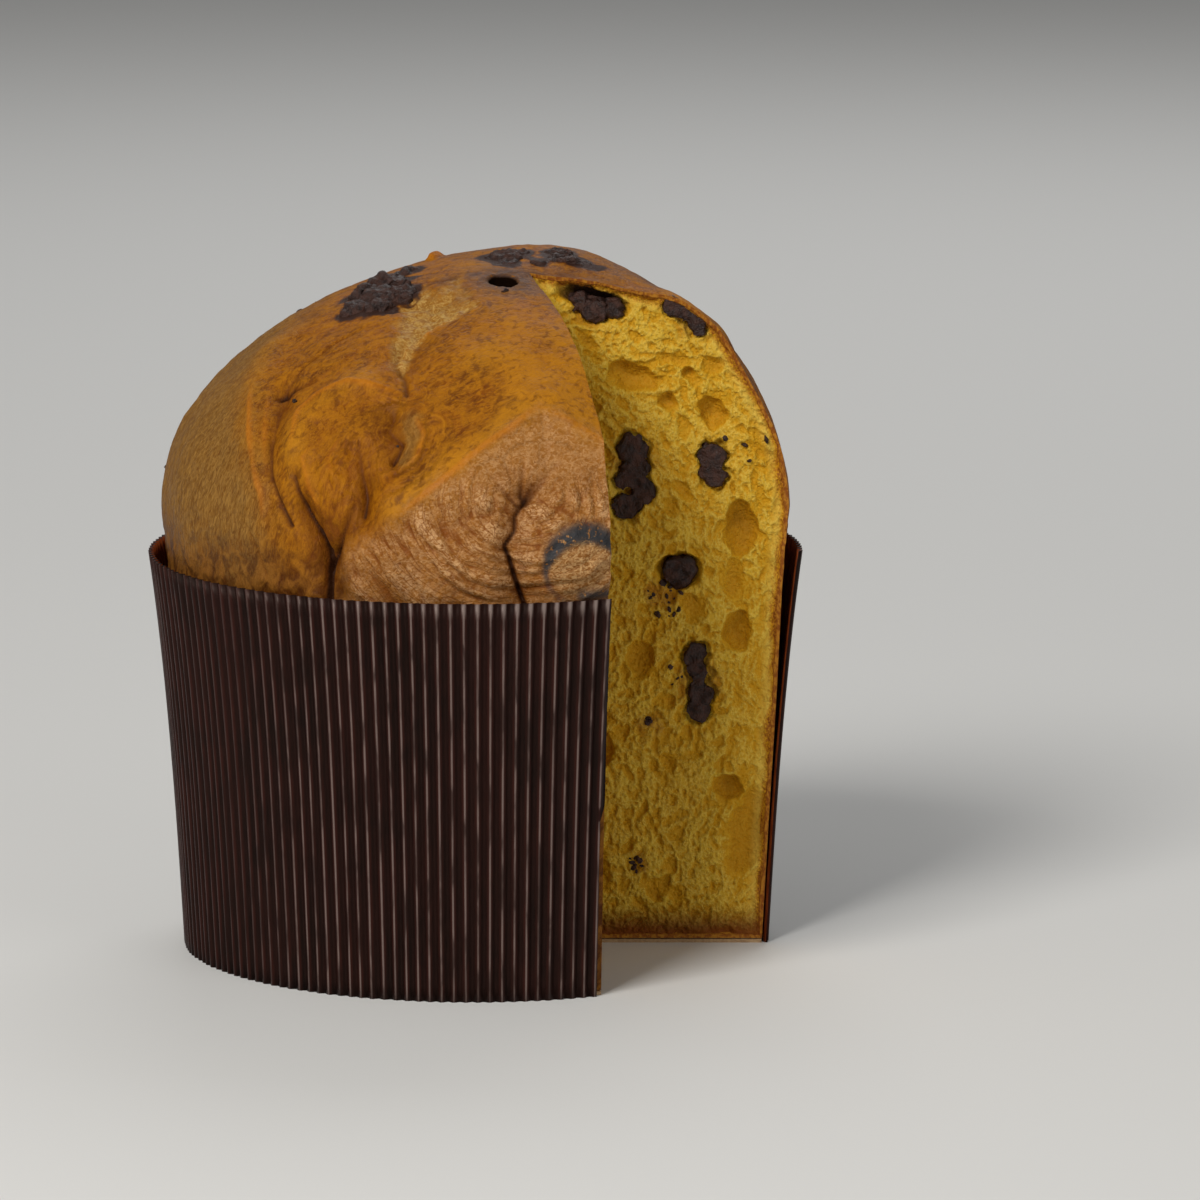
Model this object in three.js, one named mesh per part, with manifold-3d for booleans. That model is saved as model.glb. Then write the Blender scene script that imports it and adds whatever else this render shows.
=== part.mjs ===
// A tall chocolate panettone with a wedge cut out of it, standing in its ribbed paper case.
// Millimetres, +Z up. The origin is the centre of the case's underside, and -Y is the front.
import * as THREE from "three";
import { mergeVertices } from "three/addons/utils/BufferGeometryUtils.js";
import Module from "manifold-3d";

// The paper case: a ribbed wall that flares towards its rim, round a flat base disc.
const CASE_HEIGHT = 110;
const CASE_FOOT_RADIUS = 81.3;
const CASE_LEAN = 0.055;
const CASE_FLARE = 3;
const RIB_COUNT = 158;
const RIB_DEPTH = 1;
const CASE_LINER = 0.6;
const WALL_STEPS = 2;
const BORE_SIDES = 72;
const BASE_SIDES = 48;
const BASE_THICKNESS = 1;
const GAP = 0.3;

// The cake's side inside the case, as [height, radius], and the dome above its shoulder.
const SIDE_PROFILE = [
  [35, 81.2],
  [70, 83.2],
  [100, 84.6],
  [112, 85.8],
];
const SHOULDER_HEIGHT = 122;
const SHOULDER_RADIUS = 86.9;
const DOME_RISE = 69;
const DOME_FULLNESS = 1.93;
const APEX_SHIFT = [16, 19];
const APEX_SHIFT_POWER = 2.5;
const DOME_LEVELS = 14;
const CAKE_SIDES = 76;
// The relief starts above this height. The cake's sides bunch towards this azimuth, where it is finest.
const RELIEF_FOOT = 100;
const BUNCHED_AZIMUTH = THREE.MathUtils.degToRad(-115);
const BUNCHING = 0.42;

// The cut: its tip stands a little off the cake's axis, and its two faces leave the tip at these angles.
const CUT_TIP = new THREE.Vector3(15, -6, 0);
const FRONT_FACE_ANGLE = THREE.MathUtils.degToRad(-73.3);
const REAR_FACE_ANGLE = 0;
const CUT_REACH = 260;
const BUBBLE_SIDES = 8;
const BUBBLE_RINGS = 5;

// Low relief of the crust: each fold rises or sinks by rise along its path of [azimuth in degrees, height].
const CRUST_FOLDS = [
  { rise: -3.4, width: 4, path: [[-122, 133], [-119, 128], [-117, 121], [-115, 109]] },
  { rise: -1.8, width: 3.5, path: [[-110, 140], [-110, 133], [-114, 124], [-116, 121]] },
  { rise: -1.6, width: 3.5, path: [[-142, 161], [-137, 155], [-133, 145], [-130, 134]] },
  { rise: 1.3, width: 6, path: [[-163, 167], [-148, 157], [-140, 147], [-134, 137]] },
  { rise: 1.8, width: 6, path: [[-127, 147], [-129, 153], [-123, 163], [-117, 164], [-111, 163]] },
  { rise: -1.5, width: 4, path: [[-110, 158], [-107, 152], [-106, 147]] },
  { rise: -1.4, width: 4, path: [[-113, 148], [-110, 139], [-110, 135]] },
  { rise: 1.9, width: 7, path: [[-104, 135], [-96, 139], [-86, 151], [-78, 159], [-72, 154], [-64, 148]] },
  { rise: -3.2, width: 4, path: [[-80, 138], [-82, 129], [-83, 122], [-82, 116], [-80, 109]] },
  { rise: 2.2, width: 8, path: [[-71, 126], [-70, 118]] },
  { rise: -2, width: 6, path: [[-132, 181], [-120, 181], [-116, 177], [-110, 164]] },
  { rise: 2.6, width: 22, path: [[-70, 168], [-68, 156]] },
  { rise: 3.2, width: 10, path: [[-19, 178], [-12, 172]] },
  { rise: -3, width: 17, path: [[20, 182], [8, 176]] },
  { rise: -1.6, width: 13, path: [[-69, 187], [-40, 184], [-32, 182]] },
  { rise: -2.8, width: 4.5, path: [[38, 160], [44, 147], [41, 132], [45, 112]] },
  { rise: -2.2, width: 4.5, path: [[96, 170], [88, 156], [93, 140], [90, 118]] },
  { rise: 2, width: 9, path: [[60, 165], [76, 152], [70, 132]] },
  { rise: -2.6, width: 4.5, path: [[140, 156], [146, 142], [141, 128], [144, 110]] },
  { rise: 1.8, width: 8, path: [[118, 164], [125, 148], [120, 130]] },
  { rise: -1, width: 14, path: [[-178, 126], [-178, 112]] },
];

// Large air bubbles that the cut opened, as [along the face, height, width, tallness, depth, tilt].
const REAR_BUBBLES = [
  [17.3, 180.2, 23, 7, 5, -14],
  [29, 158.4, 15, 9, 4, -20],
  [42.6, 158.5, 5, 5.5, 3, 0],
  [36.8, 150.6, 6, 5, 3, 20],
  [50, 149, 7, 10, 4, 12],
  [41, 104.8, 12, 11, 5, 0],
  [31, 80, 7, 13, 3, 6],
  [13.5, 97, 7, 12, 3, -8],
  [58, 116, 8, 16, 5, -6],
  [57, 88, 9, 13, 4, 8],
  [20, 54, 8, 12, 3.5, 10],
  [55, 43, 10, 8, 4, -12],
];
const FRONT_BUBBLES = [
  [60, 137, 12, 36, 7, 24],
  [44, 130, 17, 21, 7, 20],
  [32.4, 107, 15, 15, 5, 0],
  [14, 83, 20, 14, 5, 30],
  [31, 84, 12, 14, 6, 0],
  [33.7, 157, 11, 7, 4, -15],
  [12.6, 38, 14, 22, 5, 24],
  [8, 135, 7, 20, 5, 0],
  [54, 66, 7, 12, 4, 6],
];

// Chocolate that the cut went through, as lumps of [along the face, height, radius, depth behind the face].
const REAR_CHOCOLATE = {
  chocolate_rear_slot: [[13.6, 178.2, 3.2, 3.4], [18, 176.8, 3.7, 3.2], [23, 177, 3, 3.2]],
  chocolate_rear_crust: [[39.5, 178, 2.5, 1], [43, 176, 2.9, 1], [46.2, 172.8, 2.9, 1]],
  chocolate_rear_tall: [
    [23.4, 142.6, 2.9, 0.8],
    [28.2, 138.6, 4.4, 1],
    [28.8, 133, 4.2, 1],
    [26.2, 129.8, 3, 0.8],
    [30.6, 127, 3.3, 1],
    [26.6, 122.8, 3.6, 0.8],
  ],
  chocolate_rear_edge: [[50.2, 136.4, 3.6, 1], [50.6, 131, 3.6, 1]],
  chocolate_rear_pit: [[41, 104.4, 4.4, 3]],
  chocolate_rear_long: [[46, 81, 3.2, 1], [46.4, 76, 3.4, 1], [46.8, 70.6, 3.5, 1], [46.5, 65.4, 3.2, 1]],
};
const FRONT_CHOCOLATE = {
  chocolate_front_large: [
    [48, 40, 3.7, 1],
    [48, 34.2, 3.8, 1],
    [55, 37, 5.2, 1.4],
    [61, 31, 6.4, 1.4],
    [65.4, 38, 4.4, 1.4],
    [57, 23.4, 4.8, 1],
    [58, 16.6, 4.2, 1],
  ],
  chocolate_front_low: [[33, 20, 3.6, 1], [37.5, 15.6, 4.4, 1], [42.5, 11.8, 4.4, 1]],
  chocolate_front_side: [[71, 101, 3.8, 1], [70.6, 95, 4.2, 1], [71, 88, 4.4, 1], [70.4, 81, 4.2, 1]],
};
// Chocolate that broke through the crust, as lumps of [x, y, radius]. They lie on the dome, sunk into it.
const CRUST_CHOCOLATE = {
  chocolate_crust_left: [
    [-32.5, -13, 4.8],
    [-27, -15.5, 5.2],
    [-26.5, -8, 5.6],
    [-21, -10.5, 5],
    [-29.5, -1.5, 4.8],
    [-22, -1, 5.2],
    [-25, 6, 5],
    [-19, 8, 4.4],
  ],
  chocolate_crust_top_a: [[5.5, 8.4, 3.2], [9.5, 6.4, 3.6], [11.5, 10, 3.2], [8.4, 2.4, 2.8]],
  chocolate_crust_top_b: [
    [17.6, 3, 3],
    [21.5, 6, 3.8],
    [23.5, 12, 3.4],
    [26.4, 6.5, 3.8],
    [31, 5.2, 3.4],
  ],
  chocolate_crust_back_a: [[32, 51.6, 4.4], [37.6, 49, 4.6]],
  chocolate_crust_back_b: [[-48, 36, 4.2], [-43.6, 40.4, 4.6]],
};
const CRUST_CHOCOLATE_SINK = 1.4;
const CRUST_CHOCOLATE_FLATNESS = 0.7;
// A lump's corners lie at its radius times a share from this range. Its pocket is wider by the gap.
const LUMP_SHARE = [0.9, 1.2];
const POCKET_GAP = 0.45;

const COLOURS = { crust: 0xb5793a, paper: 0x2f1d19, base: 0xb18b5e, chocolate: 0x3a251d };

const wasm = await Module();
wasm.setup();

// A closed geometry as a manifold solid, without the zero-area triangles at a lathe's poles.
function solidOf(geometry) {
  const bare = new THREE.BufferGeometry();
  const loose = geometry.index ? geometry.toNonIndexed() : geometry;
  bare.setAttribute("position", loose.getAttribute("position"));
  const merged = mergeVertices(bare, 1e-3);
  const kept = [];
  const corners = merged.index.array;
  for (let i = 0; i < corners.length; i += 3) {
    const [a, b, c] = corners.slice(i, i + 3);
    if (a !== b && b !== c && a !== c) kept.push(a, b, c);
  }
  return new wasm.Manifold(
    new wasm.Mesh({
      numProp: 3,
      vertProperties: new Float32Array(merged.getAttribute("position").array),
      triVerts: new Uint32Array(kept),
    }),
  );
}

// The largest connected body of a solid, so that loose scraps of a cut are dropped.
function mainBody(solid) {
  return solid.decompose().sort((a, b) => b.volume() - a.volume())[0];
}

function namedMesh(name, solid, material) {
  const { numProp, vertProperties, triVerts } = mainBody(solid).getMesh();
  const positions = new Float32Array((vertProperties.length / numProp) * 3);
  for (let i = 0; i < positions.length / 3; i += 1) {
    positions.set(vertProperties.subarray(i * numProp, i * numProp + 3), i * 3);
  }
  const geometry = new THREE.BufferGeometry();
  geometry.setAttribute("position", new THREE.BufferAttribute(positions, 3));
  geometry.setIndex(new THREE.BufferAttribute(new Uint32Array(triVerts), 1));
  geometry.computeVertexNormals();
  const mesh = new THREE.Mesh(geometry, material);
  mesh.name = name;
  return mesh;
}

// A repeatable stream of numbers from 0 to 1.
function seededRandom(seed) {
  let state = seed;
  return () => {
    state = (state * 16807) % 2147483647;
    return state / 2147483647;
  };
}

function domeShare(height) {
  return THREE.MathUtils.clamp((height - SHOULDER_HEIGHT) / DOME_RISE, 0, 1);
}

function cakeRadius(height) {
  if (height >= SHOULDER_HEIGHT) {
    const share = domeShare(height) ** DOME_FULLNESS;
    return SHOULDER_RADIUS * Math.max(1 - share, 0) ** (1 / DOME_FULLNESS);
  }
  const foot = [0, caseRadius(0) - RIB_DEPTH - CASE_LINER - GAP];
  const stations = [foot, ...SIDE_PROFILE, [SHOULDER_HEIGHT, SHOULDER_RADIUS]];
  const upper = stations.findIndex(([z]) => z >= height);
  const [z1, r1] = stations[Math.max(upper, 1)];
  const [z0, r0] = stations[Math.max(upper, 1) - 1];
  return r0 + ((r1 - r0) * (height - z0)) / (z1 - z0);
}

function caseRadius(height) {
  return CASE_FOOT_RADIUS + CASE_LEAN * height + CASE_FLARE * (height / CASE_HEIGHT) ** 3;
}

// A point of the smooth cake, whose dome leans from the axis towards its apex.
function cakePoint(azimuth, height) {
  const lean = domeShare(height) ** APEX_SHIFT_POWER;
  const radius = cakeRadius(height);
  return new THREE.Vector3(
    APEX_SHIFT[0] * lean + radius * Math.cos(azimuth),
    APEX_SHIFT[1] * lean + radius * Math.sin(azimuth),
    height,
  );
}

function cakeNormal(azimuth, height) {
  const top = SHOULDER_HEIGHT + DOME_RISE;
  if (height > top - 0.5) return new THREE.Vector3(0, 0, 1);
  const around = cakePoint(azimuth + 0.01, height).sub(cakePoint(azimuth - 0.01, height));
  const upwards = cakePoint(azimuth, height + 0.25).sub(cakePoint(azimuth, height - 0.25));
  return around.cross(upwards).normalize();
}

const foldLines = CRUST_FOLDS.map(({ rise, width, path }) => {
  const points = path.map(([degrees, height]) => cakePoint(THREE.MathUtils.degToRad(degrees), height));
  const lines = points.slice(1).map((point, i) => new THREE.Line3(points[i], point));
  return { rise, width, lines };
});

function foldRelief(point) {
  const nearest = new THREE.Vector3();
  return foldLines.reduce((sum, { rise, width, lines }) => {
    const distances = lines.map((line) => line.closestPointToPoint(point, true, nearest).distanceTo(point));
    return sum + rise * Math.exp(-((Math.min(...distances) / width) ** 2));
  }, 0);
}

// The azimuth of one of the cake's sides, which are narrowest at the bunched azimuth.
function sideAzimuth(side) {
  const even = ((side % CAKE_SIDES) / CAKE_SIDES) * 2 * Math.PI;
  return BUNCHED_AZIMUTH + even - BUNCHING * Math.sin(even);
}

// The whole cake before the cut, as a lathe whose vertices then follow the leaning, folded dome.
function wholeCake() {
  const foot = BASE_THICKNESS + GAP;
  const sideHeights = [foot, ...SIDE_PROFILE.map(([height]) => height)];
  const domeHeights = Array.from(
    { length: DOME_LEVELS },
    (_, i) => SHOULDER_HEIGHT + DOME_RISE * Math.sin((i / (DOME_LEVELS - 1)) * (Math.PI / 2)),
  );
  const heights = [...sideHeights, ...domeHeights];
  const profile = [new THREE.Vector2(0, foot), ...heights.map((z) => new THREE.Vector2(cakeRadius(z), z))];
  const geometry = new THREE.LatheGeometry(profile, CAKE_SIDES);
  const positions = geometry.getAttribute("position");
  for (let i = 0; i <= CAKE_SIDES; i += 1) {
    const azimuth = sideAzimuth(i);
    profile.forEach(({ x: radius, y: height }, j) => {
      const onAxis = radius === 0 && height === foot;
      const point = onAxis ? new THREE.Vector3(0, 0, foot) : cakePoint(azimuth, height);
      if (height > RELIEF_FOOT) point.addScaledVector(cakeNormal(azimuth, height), foldRelief(point));
      positions.setXYZ(i * profile.length + j, point.x, point.y, point.z);
    });
  }
  return solidOf(geometry);
}

// The wedge of cake that was taken out, with room on all sides but the two cut faces.
function cutWedge() {
  const far = new THREE.Vector2(Math.cos(FRONT_FACE_ANGLE), Math.sin(FRONT_FACE_ANGLE));
  const outline = new THREE.Shape([
    new THREE.Vector2(CUT_TIP.x, CUT_TIP.y),
    new THREE.Vector2(CUT_TIP.x + far.x * CUT_REACH, CUT_TIP.y + far.y * CUT_REACH),
    new THREE.Vector2(CUT_TIP.x + CUT_REACH, CUT_TIP.y - CUT_REACH),
    new THREE.Vector2(CUT_TIP.x + CUT_REACH, CUT_TIP.y),
  ]);
  const geometry = new THREE.ExtrudeGeometry(outline, { depth: CUT_REACH, bevelEnabled: false });
  return solidOf(geometry.translate(0, 0, CASE_HEIGHT - CUT_REACH / 2));
}

// Places a geometry on a cut face, sunk into the cake. Its x runs along the face from the tip, its y up.
function ontoFace(geometry, faceAngle, along, height, sink) {
  const right = new THREE.Vector3(Math.cos(faceAngle), Math.sin(faceAngle), 0);
  const up = new THREE.Vector3(0, 0, 1);
  const square = right.clone().cross(up);
  const inwards = faceAngle === FRONT_FACE_ANGLE ? square : square.clone().negate();
  const place = CUT_TIP.clone().addScaledVector(right, along).addScaledVector(inwards, sink);
  place.z = height;
  return geometry.applyMatrix4(new THREE.Matrix4().makeBasis(right, up, square).setPosition(place));
}

function bubble(faceAngle, [along, height, width, tall, depth, tilt]) {
  const geometry = new THREE.SphereGeometry(0.5, BUBBLE_SIDES, BUBBLE_RINGS)
    .rotateX(Math.PI / 2)
    .scale(width, tall, depth * 2)
    .rotateZ(THREE.MathUtils.degToRad(tilt));
  return solidOf(ontoFace(geometry, faceAngle, along, height, 0));
}

// A lump of chocolate with broken, uneven sides. The same seed gives the same lump at any radius.
function lump(radius, seed) {
  const random = seededRandom(seed);
  const geometry = new THREE.DodecahedronGeometry(1);
  geometry.deleteAttribute("normal");
  geometry.deleteAttribute("uv");
  const merged = mergeVertices(geometry, 1e-4);
  const positions = merged.getAttribute("position");
  for (let i = 0; i < positions.count; i += 1) {
    const reach = radius * THREE.MathUtils.lerp(...LUMP_SHARE, random());
    positions.setXYZ(i, positions.getX(i) * reach, positions.getY(i) * reach, positions.getZ(i) * reach);
  }
  return merged;
}

// A chocolate piece as the union of its lumps, wider by growth. Each lump has its own seed.
function chocolatePiece(lumps, seed, growth, place) {
  return lumps
    .map((size, i) => solidOf(place(lump(size[2] + growth, seed + i), size)))
    .reduce((whole, solid) => whole.add(solid));
}

function placeOnFace(faceAngle) {
  return (geometry, [along, height, , depth]) => ontoFace(geometry, faceAngle, along, height, depth);
}

// The azimuth and height of the dome's surface above a point of the plan, found by halving.
function domeOver(x, y) {
  let low = SHOULDER_HEIGHT;
  let high = SHOULDER_HEIGHT + DOME_RISE;
  for (let i = 0; i < 30; i += 1) {
    const height = (low + high) / 2;
    const lean = domeShare(height) ** APEX_SHIFT_POWER;
    const reach = Math.hypot(x - APEX_SHIFT[0] * lean, y - APEX_SHIFT[1] * lean);
    if (reach < cakeRadius(height)) low = height;
    else high = height;
  }
  const lean = domeShare(low) ** APEX_SHIFT_POWER;
  return { azimuth: Math.atan2(y - APEX_SHIFT[1] * lean, x - APEX_SHIFT[0] * lean), height: low };
}

function placeOnCrust(geometry, [x, y]) {
  const { azimuth, height } = domeOver(x, y);
  const normal = cakeNormal(azimuth, height);
  const turn = new THREE.Quaternion().setFromUnitVectors(new THREE.Vector3(0, 0, 1), normal);
  const smooth = cakePoint(azimuth, height);
  const place = smooth.clone().addScaledVector(normal, foldRelief(smooth) - CRUST_CHOCOLATE_SINK);
  return geometry
    .scale(1, 1, CRUST_CHOCOLATE_FLATNESS)
    .applyQuaternion(turn)
    .translate(place.x, place.y, place.z);
}

// The case's wall: a ribbed ring drawn as an outline, raised in steps, then flared.
function caseWall() {
  const outline = new THREE.Shape();
  const crestRadius = CASE_FOOT_RADIUS;
  for (let i = 0; i < RIB_COUNT * 2; i += 1) {
    const angle = (i / (RIB_COUNT * 2)) * 2 * Math.PI;
    const radius = i % 2 ? crestRadius - RIB_DEPTH : crestRadius;
    outline[i ? "lineTo" : "moveTo"](radius * Math.cos(angle), radius * Math.sin(angle));
  }
  const bore = new THREE.Path();
  for (let i = 0; i < BORE_SIDES; i += 1) {
    const angle = (i / BORE_SIDES) * 2 * Math.PI;
    const radius = crestRadius - RIB_DEPTH - CASE_LINER;
    bore[i ? "lineTo" : "moveTo"](radius * Math.cos(angle), radius * Math.sin(angle));
  }
  outline.holes.push(bore);
  const raised = { depth: CASE_HEIGHT, steps: WALL_STEPS, bevelEnabled: false };
  const geometry = new THREE.ExtrudeGeometry(outline, raised);
  const positions = geometry.getAttribute("position");
  for (let i = 0; i < positions.count; i += 1) {
    const spread = caseRadius(positions.getZ(i)) - caseRadius(0);
    const reach = Math.hypot(positions.getX(i), positions.getY(i));
    const grown = (reach + spread) / reach;
    positions.setXYZ(i, positions.getX(i) * grown, positions.getY(i) * grown, positions.getZ(i));
  }
  return solidOf(geometry);
}

function caseBase() {
  const radius = CASE_FOOT_RADIUS - RIB_DEPTH - CASE_LINER - GAP;
  const geometry = new THREE.CylinderGeometry(radius, radius, BASE_THICKNESS, BASE_SIDES);
  return solidOf(geometry.rotateX(Math.PI / 2).translate(0, 0, BASE_THICKNESS / 2));
}

function material(colour, roughness) {
  return new THREE.MeshStandardMaterial({ color: colour, roughness, metalness: 0 });
}

const crustMaterial = material(COLOURS.crust, 0.6);
const paperMaterial = material(COLOURS.paper, 0.42);
const baseMaterial = material(COLOURS.base, 0.85);
const chocolateMaterial = material(COLOURS.chocolate, 0.45);

const wedge = cutWedge();
const uncutFaces = wholeCake().subtract(wedge);
const faces = [
  { angle: REAR_FACE_ANGLE, chocolate: REAR_CHOCOLATE, bubbles: REAR_BUBBLES },
  { angle: FRONT_FACE_ANGLE, chocolate: FRONT_CHOCOLATE, bubbles: FRONT_BUBBLES },
];
const faceChocolate = faces.flatMap(({ angle, chocolate }) =>
  Object.entries(chocolate).map(([name, lumps]) => ({ name, lumps, place: placeOnFace(angle) })),
);
const crustChocolate = Object.entries(CRUST_CHOCOLATE).map(([name, lumps]) => ({
  name,
  lumps,
  place: placeOnCrust,
}));

let cake = uncutFaces;
for (const { angle, bubbles } of faces) {
  for (const size of bubbles) cake = cake.subtract(bubble(angle, size));
}
const chocolate = [...faceChocolate, ...crustChocolate].map(({ name, lumps, place }, i) => {
  const seed = (i + 1) * 100;
  const whole = chocolatePiece(lumps, seed, 0, place);
  cake = cake.subtract(chocolatePiece(lumps, seed, POCKET_GAP, place));
  const solid = place === placeOnCrust ? whole.subtract(wedge) : whole.intersect(uncutFaces);
  return namedMesh(name, solid, chocolateMaterial);
});

const part = new THREE.Group();
part.add(
  namedMesh("panettone", cake, crustMaterial),
  namedMesh("case_wall", caseWall().subtract(wedge), paperMaterial),
  namedMesh("case_base", caseBase().subtract(wedge), baseMaterial),
  ...chocolate,
);

export default part;
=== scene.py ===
from math import cos, pi, radians, sin

import bpy
import numpy as np
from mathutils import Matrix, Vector
from mathutils.bvhtree import BVHTree
from mathutils.geometry import delaunay_2d_cdt


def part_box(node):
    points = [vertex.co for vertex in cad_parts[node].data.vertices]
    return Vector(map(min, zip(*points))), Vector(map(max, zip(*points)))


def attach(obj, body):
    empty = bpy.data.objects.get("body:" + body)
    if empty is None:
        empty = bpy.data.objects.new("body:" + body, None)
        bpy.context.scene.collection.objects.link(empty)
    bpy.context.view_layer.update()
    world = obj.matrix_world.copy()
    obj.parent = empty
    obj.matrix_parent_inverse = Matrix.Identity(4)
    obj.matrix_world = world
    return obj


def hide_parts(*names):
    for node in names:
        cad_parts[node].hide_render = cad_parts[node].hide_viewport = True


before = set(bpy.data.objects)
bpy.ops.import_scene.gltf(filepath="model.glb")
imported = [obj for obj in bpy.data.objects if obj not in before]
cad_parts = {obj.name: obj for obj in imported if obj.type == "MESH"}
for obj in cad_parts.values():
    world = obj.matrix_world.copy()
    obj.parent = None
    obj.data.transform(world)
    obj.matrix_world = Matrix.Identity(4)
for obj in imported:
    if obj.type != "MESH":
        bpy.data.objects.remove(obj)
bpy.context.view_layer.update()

MM = 0.001

# Sizes that the frame gives.
CASE_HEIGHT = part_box("case_wall")[1].z / MM
BASE_RADIUS = -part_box("case_base")[0].x / MM
CAKE_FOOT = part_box("panettone")[0].z / MM

# The paper case, as in the solid model.
CASE_FOOT_RADIUS = BASE_RADIUS + 1.9
CASE_LEAN = 0.055
CASE_FLARE = 3
RIB_COUNT = 158
RIB_DEPTH = 1
PAPER_THICKNESS = 0.5

# The cake, as in the solid model: its side, its shoulder and the dome that leans to its apex.
FOOT_RADIUS = BASE_RADIUS
SIDE_PROFILE = [[35, 81.2], [70, 83.2], [100, 84.6], [112, 85.8]]
SHOULDER_HEIGHT = 122
SHOULDER_RADIUS = 86.9
DOME_RISE = 69
DOME_TOP = SHOULDER_HEIGHT + DOME_RISE
DOME_FULLNESS = 1.93
APEX_SHIFT = (16, 19)
APEX_SHIFT_POWER = 2.5
RELIEF_FOOT = 100

# The cut: its tip, and the directions of its two faces in plan.
CUT_TIP = np.array([15.0, -6.0, 0.0])
REAR_FACE_ANGLE = 0.0
FRONT_FACE_ANGLE = radians(-73.3)

# The crust's grid and the crumb's lattice.
PROFILE_CENTRE = 90
PROFILE_SAMPLES = 420
CRUST_COLUMNS = 480
CRUST_ROWS = 196
FOOT_ROWS = 8
CRUMB_SPACING = 0.42
# The crust's thickness at the cut, how far the crumb's slab reaches under it, and the slab's own thickness.
CRUST_THICKNESS = 0.9
SLAB_INSET = 0.45
SLAB_BACK = 8
RECESS_DEPTH = 6
# Both narrow towards their backs, so that they stay clear of the crust's dents.
RECESS_NARROWING = 3.5
SLAB_NARROWING = 5.5
# The slabs pass each other by this much behind the tip.
TIP_OVERLAP = 4
# The slab's rim lies this deep below the cut.
RIM_DEPTH = 0.35

# Folds of the solid model, as [rise, width, path of [azimuth in degrees, height]].
BROAD_FOLDS = [
    [-3.4, 4, [[-122, 133], [-119, 128], [-117, 121], [-115, 109]]],
    [-1.8, 3.5, [[-110, 140], [-110, 133], [-114, 124], [-116, 121]]],
    [-1.6, 3.5, [[-142, 161], [-137, 155], [-133, 145], [-130, 134]]],
    [1.3, 6, [[-163, 167], [-148, 157], [-140, 147], [-134, 137]]],
    [1.8, 6, [[-127, 147], [-129, 153], [-123, 163], [-117, 164], [-111, 163]]],
    [-1.5, 4, [[-110, 158], [-107, 152], [-106, 147]]],
    [-1.4, 4, [[-113, 148], [-110, 139], [-110, 135]]],
    [1.9, 7, [[-104, 135], [-96, 139], [-86, 151], [-78, 159], [-72, 154], [-64, 148]]],
    [-3.2, 4, [[-80, 138], [-82, 129], [-83, 122], [-82, 116], [-80, 109]]],
    [2.2, 8, [[-71, 126], [-70, 118]]],
    [-2, 6, [[-132, 181], [-120, 181], [-116, 177], [-110, 164]]],
    [2.6, 22, [[-70, 168], [-68, 156]]],
    [3.2, 10, [[-19, 178], [-12, 172]]],
    [-3, 17, [[20, 182], [8, 176]]],
    [-1.6, 13, [[-69, 187], [-40, 184], [-32, 182]]],
    [-2.8, 4.5, [[38, 160], [44, 147], [41, 132], [45, 112]]],
    [-2.2, 4.5, [[96, 170], [88, 156], [93, 140], [90, 118]]],
    [2, 9, [[60, 165], [76, 152], [70, 132]]],
    [-2.6, 4.5, [[140, 156], [146, 142], [141, 128], [144, 110]]],
    [1.8, 8, [[118, 164], [125, 148], [120, 130]]],
    [-1, 14, [[-178, 126], [-178, 112]]],
]

# Sharp creases of the baked skin, in the same form. Each gets deeper along its path.
SHARP_CREASES = [
    [-3.0, 0.8, [[-125, 141], [-122, 133], [-118, 125], [-117, 117], [-117, 104]]],
    [-1.9, 0.8, [[-112, 135], [-113, 130], [-115, 122], [-117, 116]]],
    [-1.4, 0.75, [[-114, 150], [-112, 144], [-110, 137], [-110, 132]]],
    [-1.4, 0.7, [[-139, 162], [-138, 156], [-134, 147], [-131, 140], [-127, 134], [-124, 128]]],
    [-1.5, 1.3, [[-134, 163], [-138, 161], [-141, 159]]],
    [-0.9, 1.0, [[-100, 155], [-100, 149], [-101, 145], [-105, 143]]],
    [-1.4, 0.7, [[-109, 158], [-109, 154], [-105, 151], [-106, 146]]],
    [-1.0, 0.9, [[-119, 174], [-116, 169], [-111, 166], [-108, 162]]],
    [
        -2.3,
        0.8,
        [[-79, 141], [-80, 138], [-82, 133], [-82, 129], [-84, 125], [-83, 121], [-82, 116], [-79, 104]],
    ],
    [-1.0, 0.9, [[-87, 143], [-85, 140], [-82, 136]]],
    [-1.1, 0.9, [[-81, 146], [-81, 138]]],
    [-1.0, 1.0, [[-75, 145], [-78, 140], [-80, 136]]],
    [-0.7, 0.7, [[-136, 130], [-132, 122], [-130, 114]]],
    [-2.4, 1.3, [[38, 161], [44, 147], [41, 132], [45, 104]]],
    [-2.0, 1.3, [[96, 171], [88, 156], [93, 140], [90, 104]]],
    [-2.2, 1.3, [[140, 157], [146, 142], [141, 128], [144, 104]]],
    [-1.2, 1.2, [[52, 150], [48, 140], [44, 133]]],
    [-0.9, 0.7, [[-135, 175], [-138, 172], [-141, 166], [-141, 160]]],
]
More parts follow.
